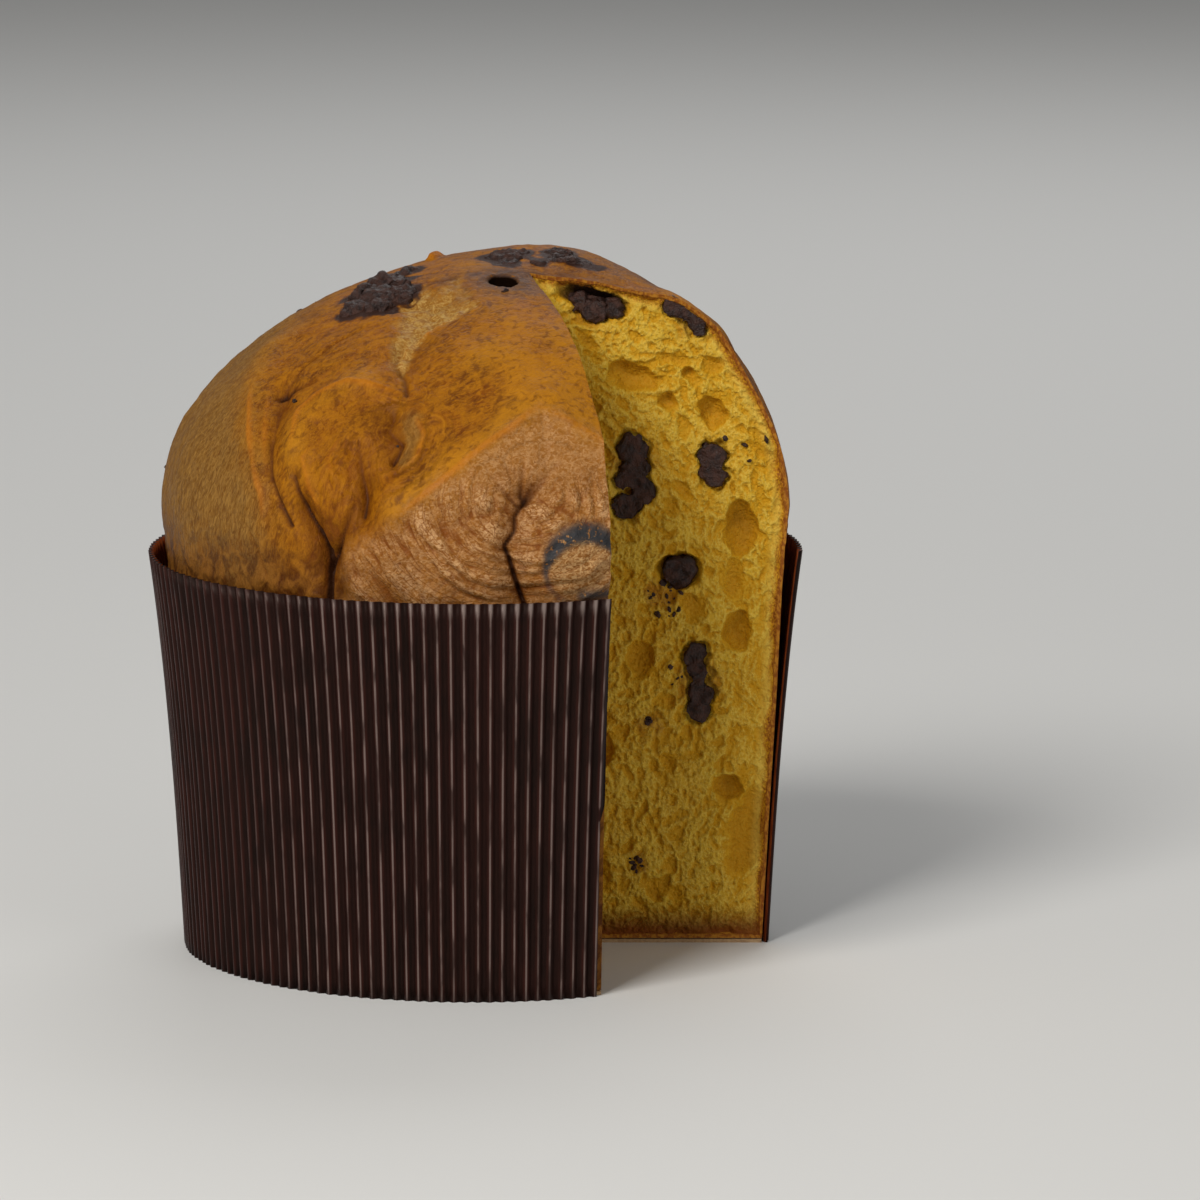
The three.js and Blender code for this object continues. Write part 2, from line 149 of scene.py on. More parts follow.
# Thin ridges of the baked skin, in the same form. Each fades towards its ends.
THIN_RIDGES = [
    [0.9, 1.1, [[-151, 160], [-149, 158], [-140, 149], [-132, 136], [-130, 127]]],
    [0.6, 0.9, [[-146, 161], [-137, 150], [-131, 138]]],
    [0.8, 1.3, [[-127, 145], [-129, 152], [-131, 156], [-129, 160], [-123, 163], [-118, 163], [-107, 162]]],
    [0.9, 1.2, [[-104, 131], [-99, 137], [-94, 143], [-88, 150], [-84, 153], [-77, 159]]],
    [0.5, 1.3, [[-79, 158], [-71, 153], [-67, 150], [-62, 146]]],
    [0.9, 1.1, [[-106, 181], [-114, 176], [-116, 172], [-113, 167]]],
    [0.6, 1.0, [[-123, 150], [-124, 145], [-121, 138], [-117, 130]]],
    [0.5, 1.0, [[-118, 152], [-119, 146], [-116, 140]]],
    [0.6, 1.1, [[-105, 158], [-101, 153], [-101, 148], [-104, 144]]],
    [2.0, 1.4, [[161, 187.7], [172, 187.1]]],
    [0.8, 1.5, [[60, 165], [70, 158], [76, 150], [72, 136]]],
    [0.7, 1.4, [[118, 166], [126, 150], [121, 132]]],
    [0.6, 1.4, [[150, 166], [156, 150], [152, 130]]],
]


def dome_share(height):
    return np.clip((height - SHOULDER_HEIGHT) / DOME_RISE, 0, 1)


def dome_centre(height):
    lean = dome_share(height) ** APEX_SHIFT_POWER
    return APEX_SHIFT[0] * lean, APEX_SHIFT[1] * lean


def cake_radius(height):
    stations = [[CAKE_FOOT, FOOT_RADIUS], *SIDE_PROFILE, [SHOULDER_HEIGHT, SHOULDER_RADIUS]]
    heights, radii = zip(*stations)
    side = np.interp(height, heights, radii)
    dome = SHOULDER_RADIUS * (1 - dome_share(height) ** DOME_FULLNESS) ** (1 / DOME_FULLNESS)
    return np.where(height < SHOULDER_HEIGHT, side, dome)


def cake_point(azimuth, height):
    x, y = dome_centre(height)
    radius = cake_radius(height)
    return np.stack([x + radius * np.cos(azimuth), y + radius * np.sin(azimuth), height], -1)


def cake_normal(azimuth, height):
    around = cake_point(azimuth + 0.01, height) - cake_point(azimuth - 0.01, height)
    upwards = cake_point(azimuth, height + 0.25) - cake_point(azimuth, height - 0.25)
    normal = np.cross(around, upwards)
    normal[height > DOME_TOP - 0.5] = (0, 0, 1)
    return normal / np.linalg.norm(normal, axis=-1, keepdims=True)


def cake_azimuth(points):
    x, y = dome_centre(points[..., 2])
    return np.arctan2(points[..., 1] - y, points[..., 0] - x)


# A value from -1 to 1 for each corner of an endless lattice, the same on each run.
def lattice_value(i, j, k, seed):
    mixed = (i * 73856093) ^ (j * 19349663) ^ (k * 83492791) ^ (seed * 26544357)
    mixed = ((mixed ^ (mixed >> 13)) * 1274126177) & 0xFFFFFFFF
    mixed = ((mixed ^ (mixed >> 15)) * 668265263) & 0xFFFFFFFF
    return ((mixed >> 8) & 0xFFFF) / 32767.5 - 1


# Smooth lumps from -1 to 1, of the given size. A size of three numbers stretches them.
def lumps(points, size, seed):
    place = points / size
    cell = np.floor(place).astype(np.int64)
    share = place - cell
    share = share * share * (3 - 2 * share)
    total = np.zeros(points.shape[:-1])
    for corner in np.ndindex(2, 2, 2):
        weight = np.ones(points.shape[:-1])
        for axis in range(3):
            weight = weight * (share[..., axis] if corner[axis] else 1 - share[..., axis])
        i, j, k = (cell[..., axis] + corner[axis] for axis in range(3))
        total += weight * lattice_value(i, j, k, seed)
    return total


# The distance of each point to a path, and the share of the path's length up to there.
def nearest_on_path(points, path):
    nearest = np.full(points.shape[:-1], np.inf)
    along = np.zeros(points.shape[:-1])
    lengths = [np.linalg.norm(end - start) for start, end in zip(path, path[1:])]
    before = 0
    for start, end, length in zip(path, path[1:], lengths):
        run = end - start
        share = np.clip((points - start) @ run / max(run @ run, 1e-9), 0, 1)
        away = np.linalg.norm(points - start - share[..., None] * run, axis=-1)
        along = np.where(away < nearest, (before + share * length) / sum(lengths), along)
        nearest = np.minimum(nearest, away)
        before += length
    return nearest, along


def distance_to_path(points, path):
    return nearest_on_path(points, path)[0]


# Which places lie inside a closed loop of [x, y].
def inside_loop(places, loop):
    x, y = places[..., 0], places[..., 1]
    odd = np.zeros(x.shape, bool)
    for (x0, y0), (x1, y1) in zip(loop, np.roll(loop, -1, 0)):
        if y0 != y1:
            odd ^= ((y0 > y) != (y1 > y)) & (x < x0 + (y - y0) * (x1 - x0) / (y1 - y0))
    return odd


def dome_path(path):
    degrees, heights = np.array(path, float).T
    return cake_point(np.radians(degrees), heights)


def even_strength(share):
    return np.ones_like(share)


def growing_strength(share):
    return 0.35 + 0.65 * share


def fading_strength(share):
    return np.minimum(5 * share * (1 - share) + 0.1, 1)


def fold_relief(points, folds, strength=even_strength):
    relief = np.zeros(points.shape[:-1])
    for rise, width, path in folds:
        away, share = nearest_on_path(points, dome_path(path))
        relief += rise * strength(share) * np.exp(-((away / width) ** 2))
    return relief


def smooth_step(low, high, value):
    share = np.clip((value - low) / (high - low), 0, 1)
    return share * share * (3 - 2 * share)


# How far inside a closed outline of the dome each point is, in millimetres, and negative outside it.
def inside_zone(points, outline):
    degree = radians(SHOULDER_RADIUS)
    places = np.stack([np.degrees(cake_azimuth(points)) * degree, points[..., 2]], -1)
    loop = np.array(outline) * (degree, 1)
    away = distance_to_path(places, [*loop, loop[0]])
    return np.where(inside_loop(places, loop), away, -away)


# Areas of the crust, as outlines of [azimuth in degrees, height].
PALE_SIDE = [
    [-184, 98], [-184, 176], [-165, 170], [-150, 158], [-140, 148], [-131, 136], [-129, 120], [-127, 98],
]
PALE_BACK = [[100, 98], [92, 130], [104, 150], [120, 158], [150, 172], [184, 176], [184, 98]]
PALE_OVAL = [[-108, 157], [-104, 159], [-101, 155], [-101, 149], [-104, 144], [-106, 146], [-105, 151]]
PINK_LOBE = [
    [-78, 158], [-84, 153], [-94, 143], [-103, 132], [-112, 122],
    [-116, 98], [-60, 98], [-60, 146], [-71, 153],
]
PINK_BACK = [[12, 98], [10, 132], [22, 148], [38, 138], [42, 98]]
TORN_SKIN = [
    [-141, 182], [-120, 184.5], [-104, 182], [-108, 179], [-113, 176], [-115, 172],
    [-112, 167], [-108, 162], [-113, 167], [-119, 172], [-124, 176], [-129, 179],
]
# The brown line below the hole, and the charred spot inside the ring.
BROWN_LINE = [[-135, 184], [-118, 186.6], [-100, 187.6], [-60, 188]]
CHAR_SPOT = [[-70, 111], [-63, 111]]
# Where creases draw the skin together, as [azimuth in degrees, height].
PINCHES = [[-80, 138], [41, 136]]
PINCH_FLATNESS = 0.8
PINCH_TURN_LENGTH = 14
# The middle of the skin between the two creases of the left lobe.
BETWEEN_CREASES = [[-116, 148], [-117, 132], [-117, 122]]
BLISTER = [-70, 119]
BLISTER_RADIUS = 10.5
HOLE = [-101, 186.4]


def crust_masks(points):
    height = points[..., 2]
    ragged = 1.6 * lumps(points, 5, 11) + 0.9 * lumps(points, 1.8, 12)

    def zone(outline, softness):
        return smooth_step(-softness, softness, inside_zone(points, outline) + ragged)

    blister = np.linalg.norm(points - dome_path([BLISTER])[0], axis=-1)
    hole = np.linalg.norm(points - dome_path([HOLE])[0], axis=-1)
    brown_line = distance_to_path(points, dome_path(BROWN_LINE))
    char_spot = distance_to_path(points, dome_path(CHAR_SPOT))
    crescent = smooth_step(117, 127, height)
    ring_radius = BLISTER_RADIUS - 1.6 * crescent
    ring_width = 0.8 + 2.3 * crescent
    ring = np.exp(-(((blister + 0.3 * ragged - ring_radius) / ring_width) ** 4))
    ring *= 0.35 + 0.65 * smooth_step(112, 122, height + ragged)
    ring = np.maximum(ring, 0.9 * np.exp(-((char_spot / 1.8) ** 2)))
    pink = np.maximum(zone(PINK_LOBE, 3.5), zone(PINK_BACK, 6))
    low = smooth_step(127, 109, height + 4 * lumps(points, 8, 13) + 2 * lumps(points, 2.4, 16))
    near_chocolate = chocolate_distance(points, "chocolate_crust", 8)
    melted = near_chocolate + 1.8 * lumps(points, 3, 17) + 0.9 * lumps(points, 1.3, 18)
    drawn = wrinkled_area(points)
    pinch_away, pinch_turn = around_pinch(points)
    flow_across, flow_along = skin_flow(points)
    return {
        "pale": np.maximum.reduce([zone(PALE_SIDE, 9), zone(PALE_BACK, 9), 0.75 * zone(PALE_OVAL, 1.2)]),
        "pink": pink,
        "torn": zone(TORN_SKIN, 1.6),
        "blister": smooth_step(BLISTER_RADIUS, BLISTER_RADIUS - 3, blister + 0.4 * ragged),
        "ring": np.clip(ring + 0.8 * np.exp(-((hole / 10) ** 2)), 0, 1),
        "hole": smooth_step(4.6, 2.9, hole + 0.45 * ragged),
        "streak": np.exp(-((brown_line / 2.8) ** 2)) * smooth_step(-0.4, 0.5, lumps(points, 3, 14)),
        "crease": np.clip(-fold_relief(points, SHARP_CREASES, growing_strength), 0, 3),
        "ridge": np.clip(fold_relief(points, THIN_RIDGES, fading_strength), 0, 1),
        "low": low * (1 - 0.55 * pink),
        "left": smooth_step(-100, -135, np.degrees(cake_azimuth(points))),
        "wrinkle": wrinkles(points) * drawn,
        "drawn": drawn,
        "pinch_away": pinch_away,
        "pinch_turn": pinch_turn,
        "flow_across": flow_across,
        "flow_along": flow_along,
        "fold": fold_relief(points, BROAD_FOLDS) + lumps(points, 24, 1) + 0.8 * lumps(points, 10, 2),
        "smear": smooth_step(3.4, 0.6, melted),
        "flat": smooth_step(7, 1, near_chocolate),
    }


# The distance of each point to the chocolate whose names start so, up to the given reach.
def chocolate_distance(points, prefix, reach):
    flat = points.reshape(-1, 3)
    nearest = np.full(len(flat), float(reach))
    for name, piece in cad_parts.items():
        if not name.startswith(prefix):
            continue
        corners = [vertex.co / MM for vertex in piece.data.vertices]
        tree = BVHTree.FromPolygons(corners, [list(polygon.vertices) for polygon in piece.data.polygons])
        box = np.array(corners)
        near = ((flat > box.min(0) - reach) & (flat < box.max(0) + reach)).all(1)
        for index in np.flatnonzero(near):
            away = tree.find_nearest(Vector(flat[index]), nearest[index])[3]
            if away is not None:
                nearest[index] = away
    return nearest.reshape(points.shape[:-1])


# Places round a pinch, in millimetres: how far from it, and how far round it from straight below.
def around_pinch(points):
    azimuth = np.degrees(cake_azimuth(points))
    front = azimuth < -20
    (front_azimuth, front_height), (back_azimuth, back_height) = PINCHES
    across = (azimuth - np.where(front, front_azimuth, back_azimuth)) * radians(SHOULDER_RADIUS)
    across *= PINCH_FLATNESS
    rise = points[..., 2] - np.where(front, front_height, back_height)
    return np.hypot(across, rise), PINCH_TURN_LENGTH * np.arctan2(across, -rise)


# Places in the flow of the front's skin, in millimetres: how far from its nearest fold, and how far along it.
# The places along a fold start well past those of the fold before it, so that no two have the same grain.
def skin_flow(points):
    across = np.full(points.shape[:-1], 99.0)
    along = np.zeros(points.shape[:-1])
    front_folds = [fold for fold in THIN_RIDGES + SHARP_CREASES if fold[2][0][0] < 0]
    for index, (_, _, path) in enumerate(front_folds):
        corners = dome_path(path)
        length = np.linalg.norm(np.diff(corners, axis=0), axis=-1).sum()
        away, share = nearest_on_path(points, corners)
        along = np.where(away < across, share * length + 200 * index, along)
        across = np.minimum(across, away)
    return across, along


# Waves of the skin with round crests and sharp valleys, from about -0.8 to 1.6. They run round the pinches,
# upright between the two creases, and level elsewhere.
def wrinkles(points):
    drift = np.stack([lumps(points, 10, seed) for seed in (4, 5, 6)], -1)
    jitter = np.stack([lumps(points, 3, seed) for seed in (34, 35, 36)], -1)

    def waves(places, long_size, short_size):
        long = np.abs(lumps(places, np.array(long_size), 7))
        short = np.abs(lumps(places, np.array(short_size), 8))
        return 1.7 * (long - 0.33) + 0.9 * (short - 0.33)

    warped = points + 3 * drift + 0.7 * jitter
    away, turn = around_pinch(points)
    curved = np.stack([away, turn, np.zeros_like(away)], -1) + 2 * drift + 0.6 * jitter
    near_pinch = smooth_step(62, 46, away)
    between = smooth_step(9, 4, distance_to_path(points, dome_path(BETWEEN_CREASES)))
    lying = waves(warped, [10.0, 10.0, 3.4], [4.4, 4.4, 1.6])
    round_pinch = waves(curved, [3.3, 10.0, 50.0], [1.7, 4.6, 50.0])
    upright = waves(warped, [3.0, 3.0, 11.0], [1.6, 1.6, 5.0])
    value = lying + near_pinch * (round_pinch - lying)
    return value + between * (upright - value)


def wrinkled_area(points):
    height = points[..., 2]
    between = smooth_step(9, 4, distance_to_path(points, dome_path(BETWEEN_CREASES)))
    areas = [0.4 * smooth_step(124, 112, height), 0.7 * between]
    for outline, bare, full in ((PINK_LOBE, 147, 134), (PINK_BACK, 146, 132)):
        areas.append(smooth_step(-2, 4, inside_zone(points, outline)) * smooth_step(bare, full, height))
    return np.maximum.reduce(areas)


# The height of the crust above the smooth dome.
def crust_relief(points, masks):
    broad = fold_relief(points, BROAD_FOLDS)
    fine = fold_relief(points, SHARP_CREASES, growing_strength)
    fine += fold_relief(points, THIN_RIDGES, fading_strength)
    swells = 0.7 * lumps(points, 24, 1) + 0.35 * lumps(points, 10, 2) + 0.14 * lumps(points, 3.4, 3)
    skin = 0.08 * lumps(points, 1.6, 15) + 0.9 * masks["wrinkle"]
    torn = -0.9 * masks["torn"] * (1 + 0.8 * lumps(points, 2.2, 9))
    blister = 0.4 * masks["blister"] + 0.3 * masks["ring"] * lumps(points, 1.6, 10)
    return broad + fine + (swells + skin) * (1 - masks["flat"]) + torn + blister - 2.6 * masks["hole"]


# Places on a line where a weighted length grows evenly.
def evenly_spaced(weights, count):
    run = np.concatenate([[0], np.cumsum((weights[1:] + weights[:-1]) / 2)])
    return np.interp(np.linspace(0, run[-1], count), run, np.arange(len(weights)))


def column_angles():
    last = 2 * pi + FRONT_FACE_ANGLE
    dense = np.linspace(REAR_FACE_ANGLE, last, 2000)
    weights = 1 + 1.6 * smooth_step(radians(140), radians(165), dense)
    return np.interp(evenly_spaced(weights, CRUST_COLUMNS), np.arange(len(dense)), dense)


# Points of the smooth crust in upright planes through the tip: from above the tip down to the foot.
def crust_profiles(angles):
    plan = np.stack([np.cos(angles), np.sin(angles)], -1)
    towards = plan @ CUT_TIP[:2]
    foot_reach = -towards + np.sqrt(towards**2 - CUT_TIP[:2] @ CUT_TIP[:2] + FOOT_RADIUS**2)
    lowest = np.arctan2(CAKE_FOOT - PROFILE_CENTRE, foot_reach)
    slope = pi / 2 + np.linspace(0, 1, PROFILE_SAMPLES)[None] * (lowest[:, None] - pi / 2)
    low = np.zeros_like(slope)
    high = np.full_like(slope, 220.0)
    for _ in range(34):
        reach = (low + high) / 2
        height = PROFILE_CENTRE + reach * np.sin(slope)
        x = CUT_TIP[0] + reach * np.cos(slope) * plan[:, :1]
        y = CUT_TIP[1] + reach * np.cos(slope) * plan[:, 1:]
        centre_x, centre_y = dome_centre(height)
        inside = (np.hypot(x - centre_x, y - centre_y) < cake_radius(height)) & (height < DOME_TOP)
        low = np.where(inside, reach, low)
        high = np.where(inside, high, reach)
    return np.stack([x, y, height], -1)


def crust_grid():
    columns = []
    for dense in crust_profiles(column_angles()):
        steps = np.linalg.norm(np.diff(dense, axis=0), axis=-1)
        weights = 0.2 + 0.8 * smooth_step(98, 106, dense[:, 2])
        run = np.concatenate([[0], np.cumsum(steps * (weights[1:] + weights[:-1]) / 2)])
        wanted = np.linspace(0, run[-1], CRUST_ROWS)
        column = np.stack([np.interp(wanted, run, dense[:, axis]) for axis in range(3)], -1)
        column[-1, 2] = CAKE_FOOT
        columns.append(column)
    return np.array(columns)


# The direction square to a cut face, out of the cake.
def towards_notch(angle):
    side = 1 if angle == REAR_FACE_ANGLE else -1
    return side * np.array([sin(angle), -cos(angle), 0.0])


def onto_cut(points, angle):
    out = towards_notch(angle)
    return points - ((points - CUT_TIP) @ out)[..., None] * out


# Large air bubbles that the cut opened, as [along the face, height, width, tallness, depth, tilt].
REAR_BUBBLES = [
    [17.3, 180.2, 23, 7, 5, -14],
    [29, 158.4, 15, 9, 4, -20],
    [42.6, 158.5, 5, 5.5, 3, 0],
    [36.8, 150.6, 6, 5, 3, 20],
    [50, 149, 7, 10, 4, 12],
    [41, 104.8, 12, 11, 5, 0],
    [31, 80, 7, 13, 3, 6],
    [13.5, 97, 7, 12, 3, -8],
    [58, 116, 8, 16, 5, -6],
    [57, 88, 9, 13, 4, 8],
    [20, 54, 8, 12, 3.5, 10],
    [55, 43, 10, 8, 4, -12],
]
FRONT_BUBBLES = [
    [60, 137, 12, 36, 7, 24],
    [44, 130, 17, 21, 7, 20],
    [32.4, 107, 15, 15, 5, 0],
    [14, 83, 20, 14, 5, 30],
    [31, 84, 12, 14, 6, 0],
    [33.7, 157, 11, 7, 4, -15],
    [12.6, 38, 14, 22, 5, 24],
    [8, 135, 7, 20, 5, 0],
    [54, 66, 7, 12, 4, 6],
]
# Brown smears on the crumb, as [along the face, height, radius].
REAR_STAINS = [[36.6, 97.6, 6], [28, 134, 9], [46, 73, 9], [33, 62, 4]]
REAR_STAINS += [[16, 177, 7], [43, 175, 6], [30, 22, 4]]
FRONT_STAINS = [[32.4, 107, 6], [56, 30, 12], [38, 16, 9], [70, 92, 7], [20, 60, 4]]
# Hollows that chocolate has lined, in the same form. Their deeper parts are painted near black, partly for
# the chocolate and partly as painted shade.
REAR_LININGS_AND_SHADE = [[17.3, 180.2, 15]]
FRONT_LININGS_AND_SHADE = [[31, 84, 5]]


# The depth of open pores below a cut face, on a raster of its plane.
class PoreField:
    step = 0.25
    left = -6
    width = 96
    height = 196
    # Pores that the crumb is full of, as [count, least width, greatest width, depth to width].
    sizes = [[6500, 0.8, 1.5, 0.5], [900, 1.4, 2.6, 0.42], [110, 2.6, 5, 0.36], [7, 6, 10, 0.32]]

    def __init__(self, bubbles, seed):
        self.depth = np.zeros((int(self.height / self.step), int((self.width - self.left) / self.step)))
        random = np.random.default_rng(seed)
        for bubble in bubbles:
            self.sink(*bubble)
        for count, least, greatest, depth_share in self.sizes:
            for _ in range(count):
                along = random.uniform(self.left, self.width)
                height = random.uniform(0, self.height)
                width = random.uniform(least, greatest)
                tall = width * random.uniform(0.9, 2.2) * (1 + 0.9 * smooth_step(48, 76, along))
                lean = self.flow(along, height) + random.normal(0, 17)
                self.sink(along, height, width, tall, width * depth_share, lean)

    # The lean of the stretched pores, which follow the side and then the dome.
    @staticmethod
    def flow(along, height):
        if height < RELIEF_FOOT:
            return 0
        across_dome = max(along, 1) / SHOULDER_RADIUS**2
        up_dome = (height - RELIEF_FOOT) / (DOME_TOP - RELIEF_FOOT) ** 2
        return np.degrees(np.arctan2(up_dome, across_dome))

    def sink(self, along, height, width, tall, depth, tilt):
        reach = max(width, tall) / 2
        first_row = max(int((height - reach) / self.step), 0)
        first_column = max(int((along - self.left - reach) / self.step), 0)
        last_row = int((height + reach) / self.step) + 2
        last_column = int((along - self.left + reach) / self.step) + 2
        window = self.depth[first_row:last_row, first_column:last_column]
        rows, columns = np.indices(window.shape)
        v = (rows + first_row) * self.step - height
        u = (columns + first_column) * self.step + self.left - along
        turn = radians(tilt)
        x = (u * cos(turn) + v * sin(turn)) / (width / 2)
        y = (v * cos(turn) - u * sin(turn)) / (tall / 2)
        steepness = 0.5 + 0.25 * smooth_step(3, 7, width)
        np.maximum(window, depth * np.clip(1 - x * x - y * y, 0, 1) ** steepness, out=window)

    def at(self, along, height):
        row = np.clip(height / self.step, 0, self.depth.shape[0] - 1.01)
        column = np.clip((along - self.left) / self.step, 0, self.depth.shape[1] - 1.01)
        i, j = row.astype(int), column.astype(int)
        up, right = row - i, column - j
        low = self.depth[i, j] * (1 - right) + self.depth[i, j + 1] * right
        high = self.depth[i + 1, j] * (1 - right) + self.depth[i + 1, j + 1] * right
        return low * (1 - up) + high * up


# A mesh in metres from millimetres, with marks on its points, which the materials read.
def mesh_object(name, points, faces, marks):
    mesh = bpy.data.meshes.new(name)
    mesh.from_pydata((np.asarray(points) * MM).tolist(), [], faces)
    mesh.shade_smooth()
    for label, values in marks.items():
        mark = mesh.attributes.new(label, "FLOAT", "POINT")
        mark.data.foreach_set("value", np.asarray(values, np.float32))
    mesh.update()
    made = bpy.data.objects.new(name, mesh)
    bpy.context.scene.collection.objects.link(made)
    return made


def along_face(angle):
    return np.array([cos(angle), sin(angle), 0.0])


# Points of the cake from places [along, height] on a cut face and their depths below it.
def from_face(angle, places, depth):
    places = np.asarray(places)
    points = CUT_TIP + places[:, :1] * along_face(angle) - np.reshape(depth, (-1, 1)) * towards_notch(angle)
    points[:, 2] = places[:, 1]
    return points


def onto_face(angle, points):
    return np.stack([(points - CUT_TIP) @ along_face(angle), points[:, 2]], -1)


# An edge of a cut face moved into the cake in the face's plane. It runs from the top to the foot of the tip.
def inset(edge, distance):
    run = np.gradient(edge, axis=0)
    run /= np.linalg.norm(run, axis=-1, keepdims=True)
    inwards = np.stack([run[:, 1], -run[:, 0]], -1)
    padded = np.concatenate([inwards[:1], inwards[:1], inwards, inwards[-1:], inwards[-1:]])
    inwards = sum(padded[i : i + len(edge)] for i in range(5))
    inwards /= np.linalg.norm(inwards, axis=-1, keepdims=True)
    distance = np.broadcast_to(distance, len(edge))
    moved = edge + distance[:, None] * inwards
    moved[0] = (0, edge[0, 1] - distance[0])
    moved[-1] = (0, edge[-1, 1] + distance[-1])
    moved[:, 0] = np.maximum(moved[:, 0], 0)
    return moved


# Places over a face in rows of even triangles, each a little off its row.
def lattice(reach, top, spacing, random):
    row_gap = spacing * 3**0.5 / 2
    rows = []
    for row in range(int(top / row_gap)):
        along = np.arange(-TIP_OVERLAP, reach, spacing) + (row % 2) * spacing / 2
        rows.append(np.stack([along, np.full_like(along, CAKE_FOOT + row * row_gap)], -1))
    places = np.concatenate(rows)
    return places + random.uniform(-0.2, 0.2, places.shape) * spacing


# A net of even triangles inside a loop, as places and the triangles' corners.
def net_inside(loop, seed):
    spaces = lattice(loop[:, 0].max(), loop[:, 1].max(), CRUMB_SPACING, np.random.default_rng(seed))
    spaces = spaces[inside_loop(spaces, loop)]
    spaces = spaces[distance_to_path(spaces, [*loop, loop[0]]) > 0.6 * CRUMB_SPACING]
    count = len(loop)
    places = np.concatenate([loop, spaces])
    links = [(i, (i + 1) % count) for i in range(count)]
    corners = [Vector(place) for place in places.tolist()]
    result = delaunay_2d_cdt(corners, links, [list(range(count))], 1, 1e-6)
    originals = [ids[0] for ids in result[3]]
    return places, [[originals[corner] for corner in triangle] for triangle in result[2]]


# Places of a cut face as points for its noise. Each level has noise of its own.
def noise_spots(places, level):
    return np.concatenate([places, np.full((len(places), 1), float(level))], -1)


# How deep the crumb lies at each place of a cut face, and how much of that is an open pore.
def crumb_depth(angle, places, skin, bubbles, seed):
    spot = noise_spots(places, 40 * seed)
    turned_spot = spot @ np.array([[0.82, 0.57, 0.0], [-0.57, 0.82, 0.0], [0.0, 0.0, 1.0]])

    def warp(step):
        broad = 1.7 * lumps(turned_spot, 8, seed + step) + 0.7 * lumps(turned_spot, 2.6, seed + step + 2)
        return broad + 0.35 * lumps(spot, 1.1, seed + step + 4)

    pores = PoreField(bubbles, seed).at(places[:, 0] + warp(4), places[:, 1] + warp(5))
    fibres = lumps(spot, np.array([0.8, 2.2, 1.0]), seed)
    fibres += 0.8 * lumps(spot, np.array([0.6, 0.9, 1.0]), seed + 1)
    swell = 0.45 * lumps(spot, 16, seed + 2) + 0.3 * lumps(spot, 5, seed + 3)
    word = "chocolate_rear" if angle == REAR_FACE_ANGLE else "chocolate_front"
    away = chocolate_distance(from_face(angle, places, 0), word, 4)
    pit = smooth_step(1.7, 0.3, away + 0.7 * lumps(spot, 2, seed + 10))
    depth = np.clip(0.55 + pores + 0.2 * fibres + swell + 2.0 * pit, -0.1, SLAB_BACK - 1)
    depth = np.minimum(depth, RIM_DEPTH + 1.3 * np.clip(skin - 0.7, 0, None))
    rooted = smooth_step(SLAB_INSET, CRUST_THICKNESS + 1.2, skin)
    return RIM_DEPTH + (depth - RIM_DEPTH) * np.where(places[:, 0] < 1, 1, rooted), pores


# The share of a smear at each place of a cut face, from spots of [along the face, height, radius].
def round_spots(places, spots, seed):
    uneven = 2 * lumps(noise_spots(places, 40 * seed), 3, seed + 3)
    share = np.zeros(len(places))
    for along, height, radius in spots:
        away = np.hypot(places[:, 0] - along, places[:, 1] - height) + uneven
        share = np.maximum(share, smooth_step(radius, radius * 0.3, away))
    return share


# The crumb of one cut face: a slab whose front is full of pores and whose rim lies under the crust.
def crumb(name, angle, edge, bubbles, stains, linings_and_shade, seed):
    rim = inset(edge, SLAB_INSET)
    loop = np.concatenate([rim, [[-TIP_OVERLAP, rim[-1, 1]], [-TIP_OVERLAP, rim[0, 1] - 2]]])
    narrowed = inset(edge, SLAB_INSET + SLAB_NARROWING)
    back_ends = [[-TIP_OVERLAP, narrowed[-1, 1]], [-TIP_OVERLAP, narrowed[0, 1] - 2]]
    back_loop = np.concatenate([narrowed, back_ends])
    places, triangles = net_inside(loop, seed)
    (x0, y0), (x1, y1), (x2, y2) = places[triangles[0]]
    leftwards = (x1 - x0) * (y2 - y0) - (x2 - x0) * (y1 - y0) > 0
    turned = angle == FRONT_FACE_ANGLE
    if leftwards == turned:
        triangles = [triangle[::-1] for triangle in triangles]

    skin = distance_to_path(places, edge)
    depth, pores = crumb_depth(angle, places, skin, bubbles, seed)
    front = from_face(angle, places, depth)
    back = from_face(angle, back_loop, SLAB_BACK)
    count = len(loop)
    back_ids = [len(front) + i for i in range(count)]
    closing = [[i, (i + 1) % count, back_ids[(i + 1) % count], back_ids[i]] for i in range(count)]
    closing.append(back_ids)
    faces = triangles + [face[::-1] if turned else face for face in closing]
    marks = {
        "pore": pores,
        "skin": skin,
        "stain": round_spots(places, stains, seed),
        "lining_and_shade": round_spots(places, linings_and_shade, seed),
        "foot": places[:, 1] - CAKE_FOOT,
    }
    marks = {label: np.concatenate([values, np.zeros(count)]) for label, values in marks.items()}
    made = mesh_object(name, np.concatenate([front, back]), faces, marks)
    made.data.materials.append(crumb_material())
    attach(made, "root")
    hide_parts("panettone")
    return front, places


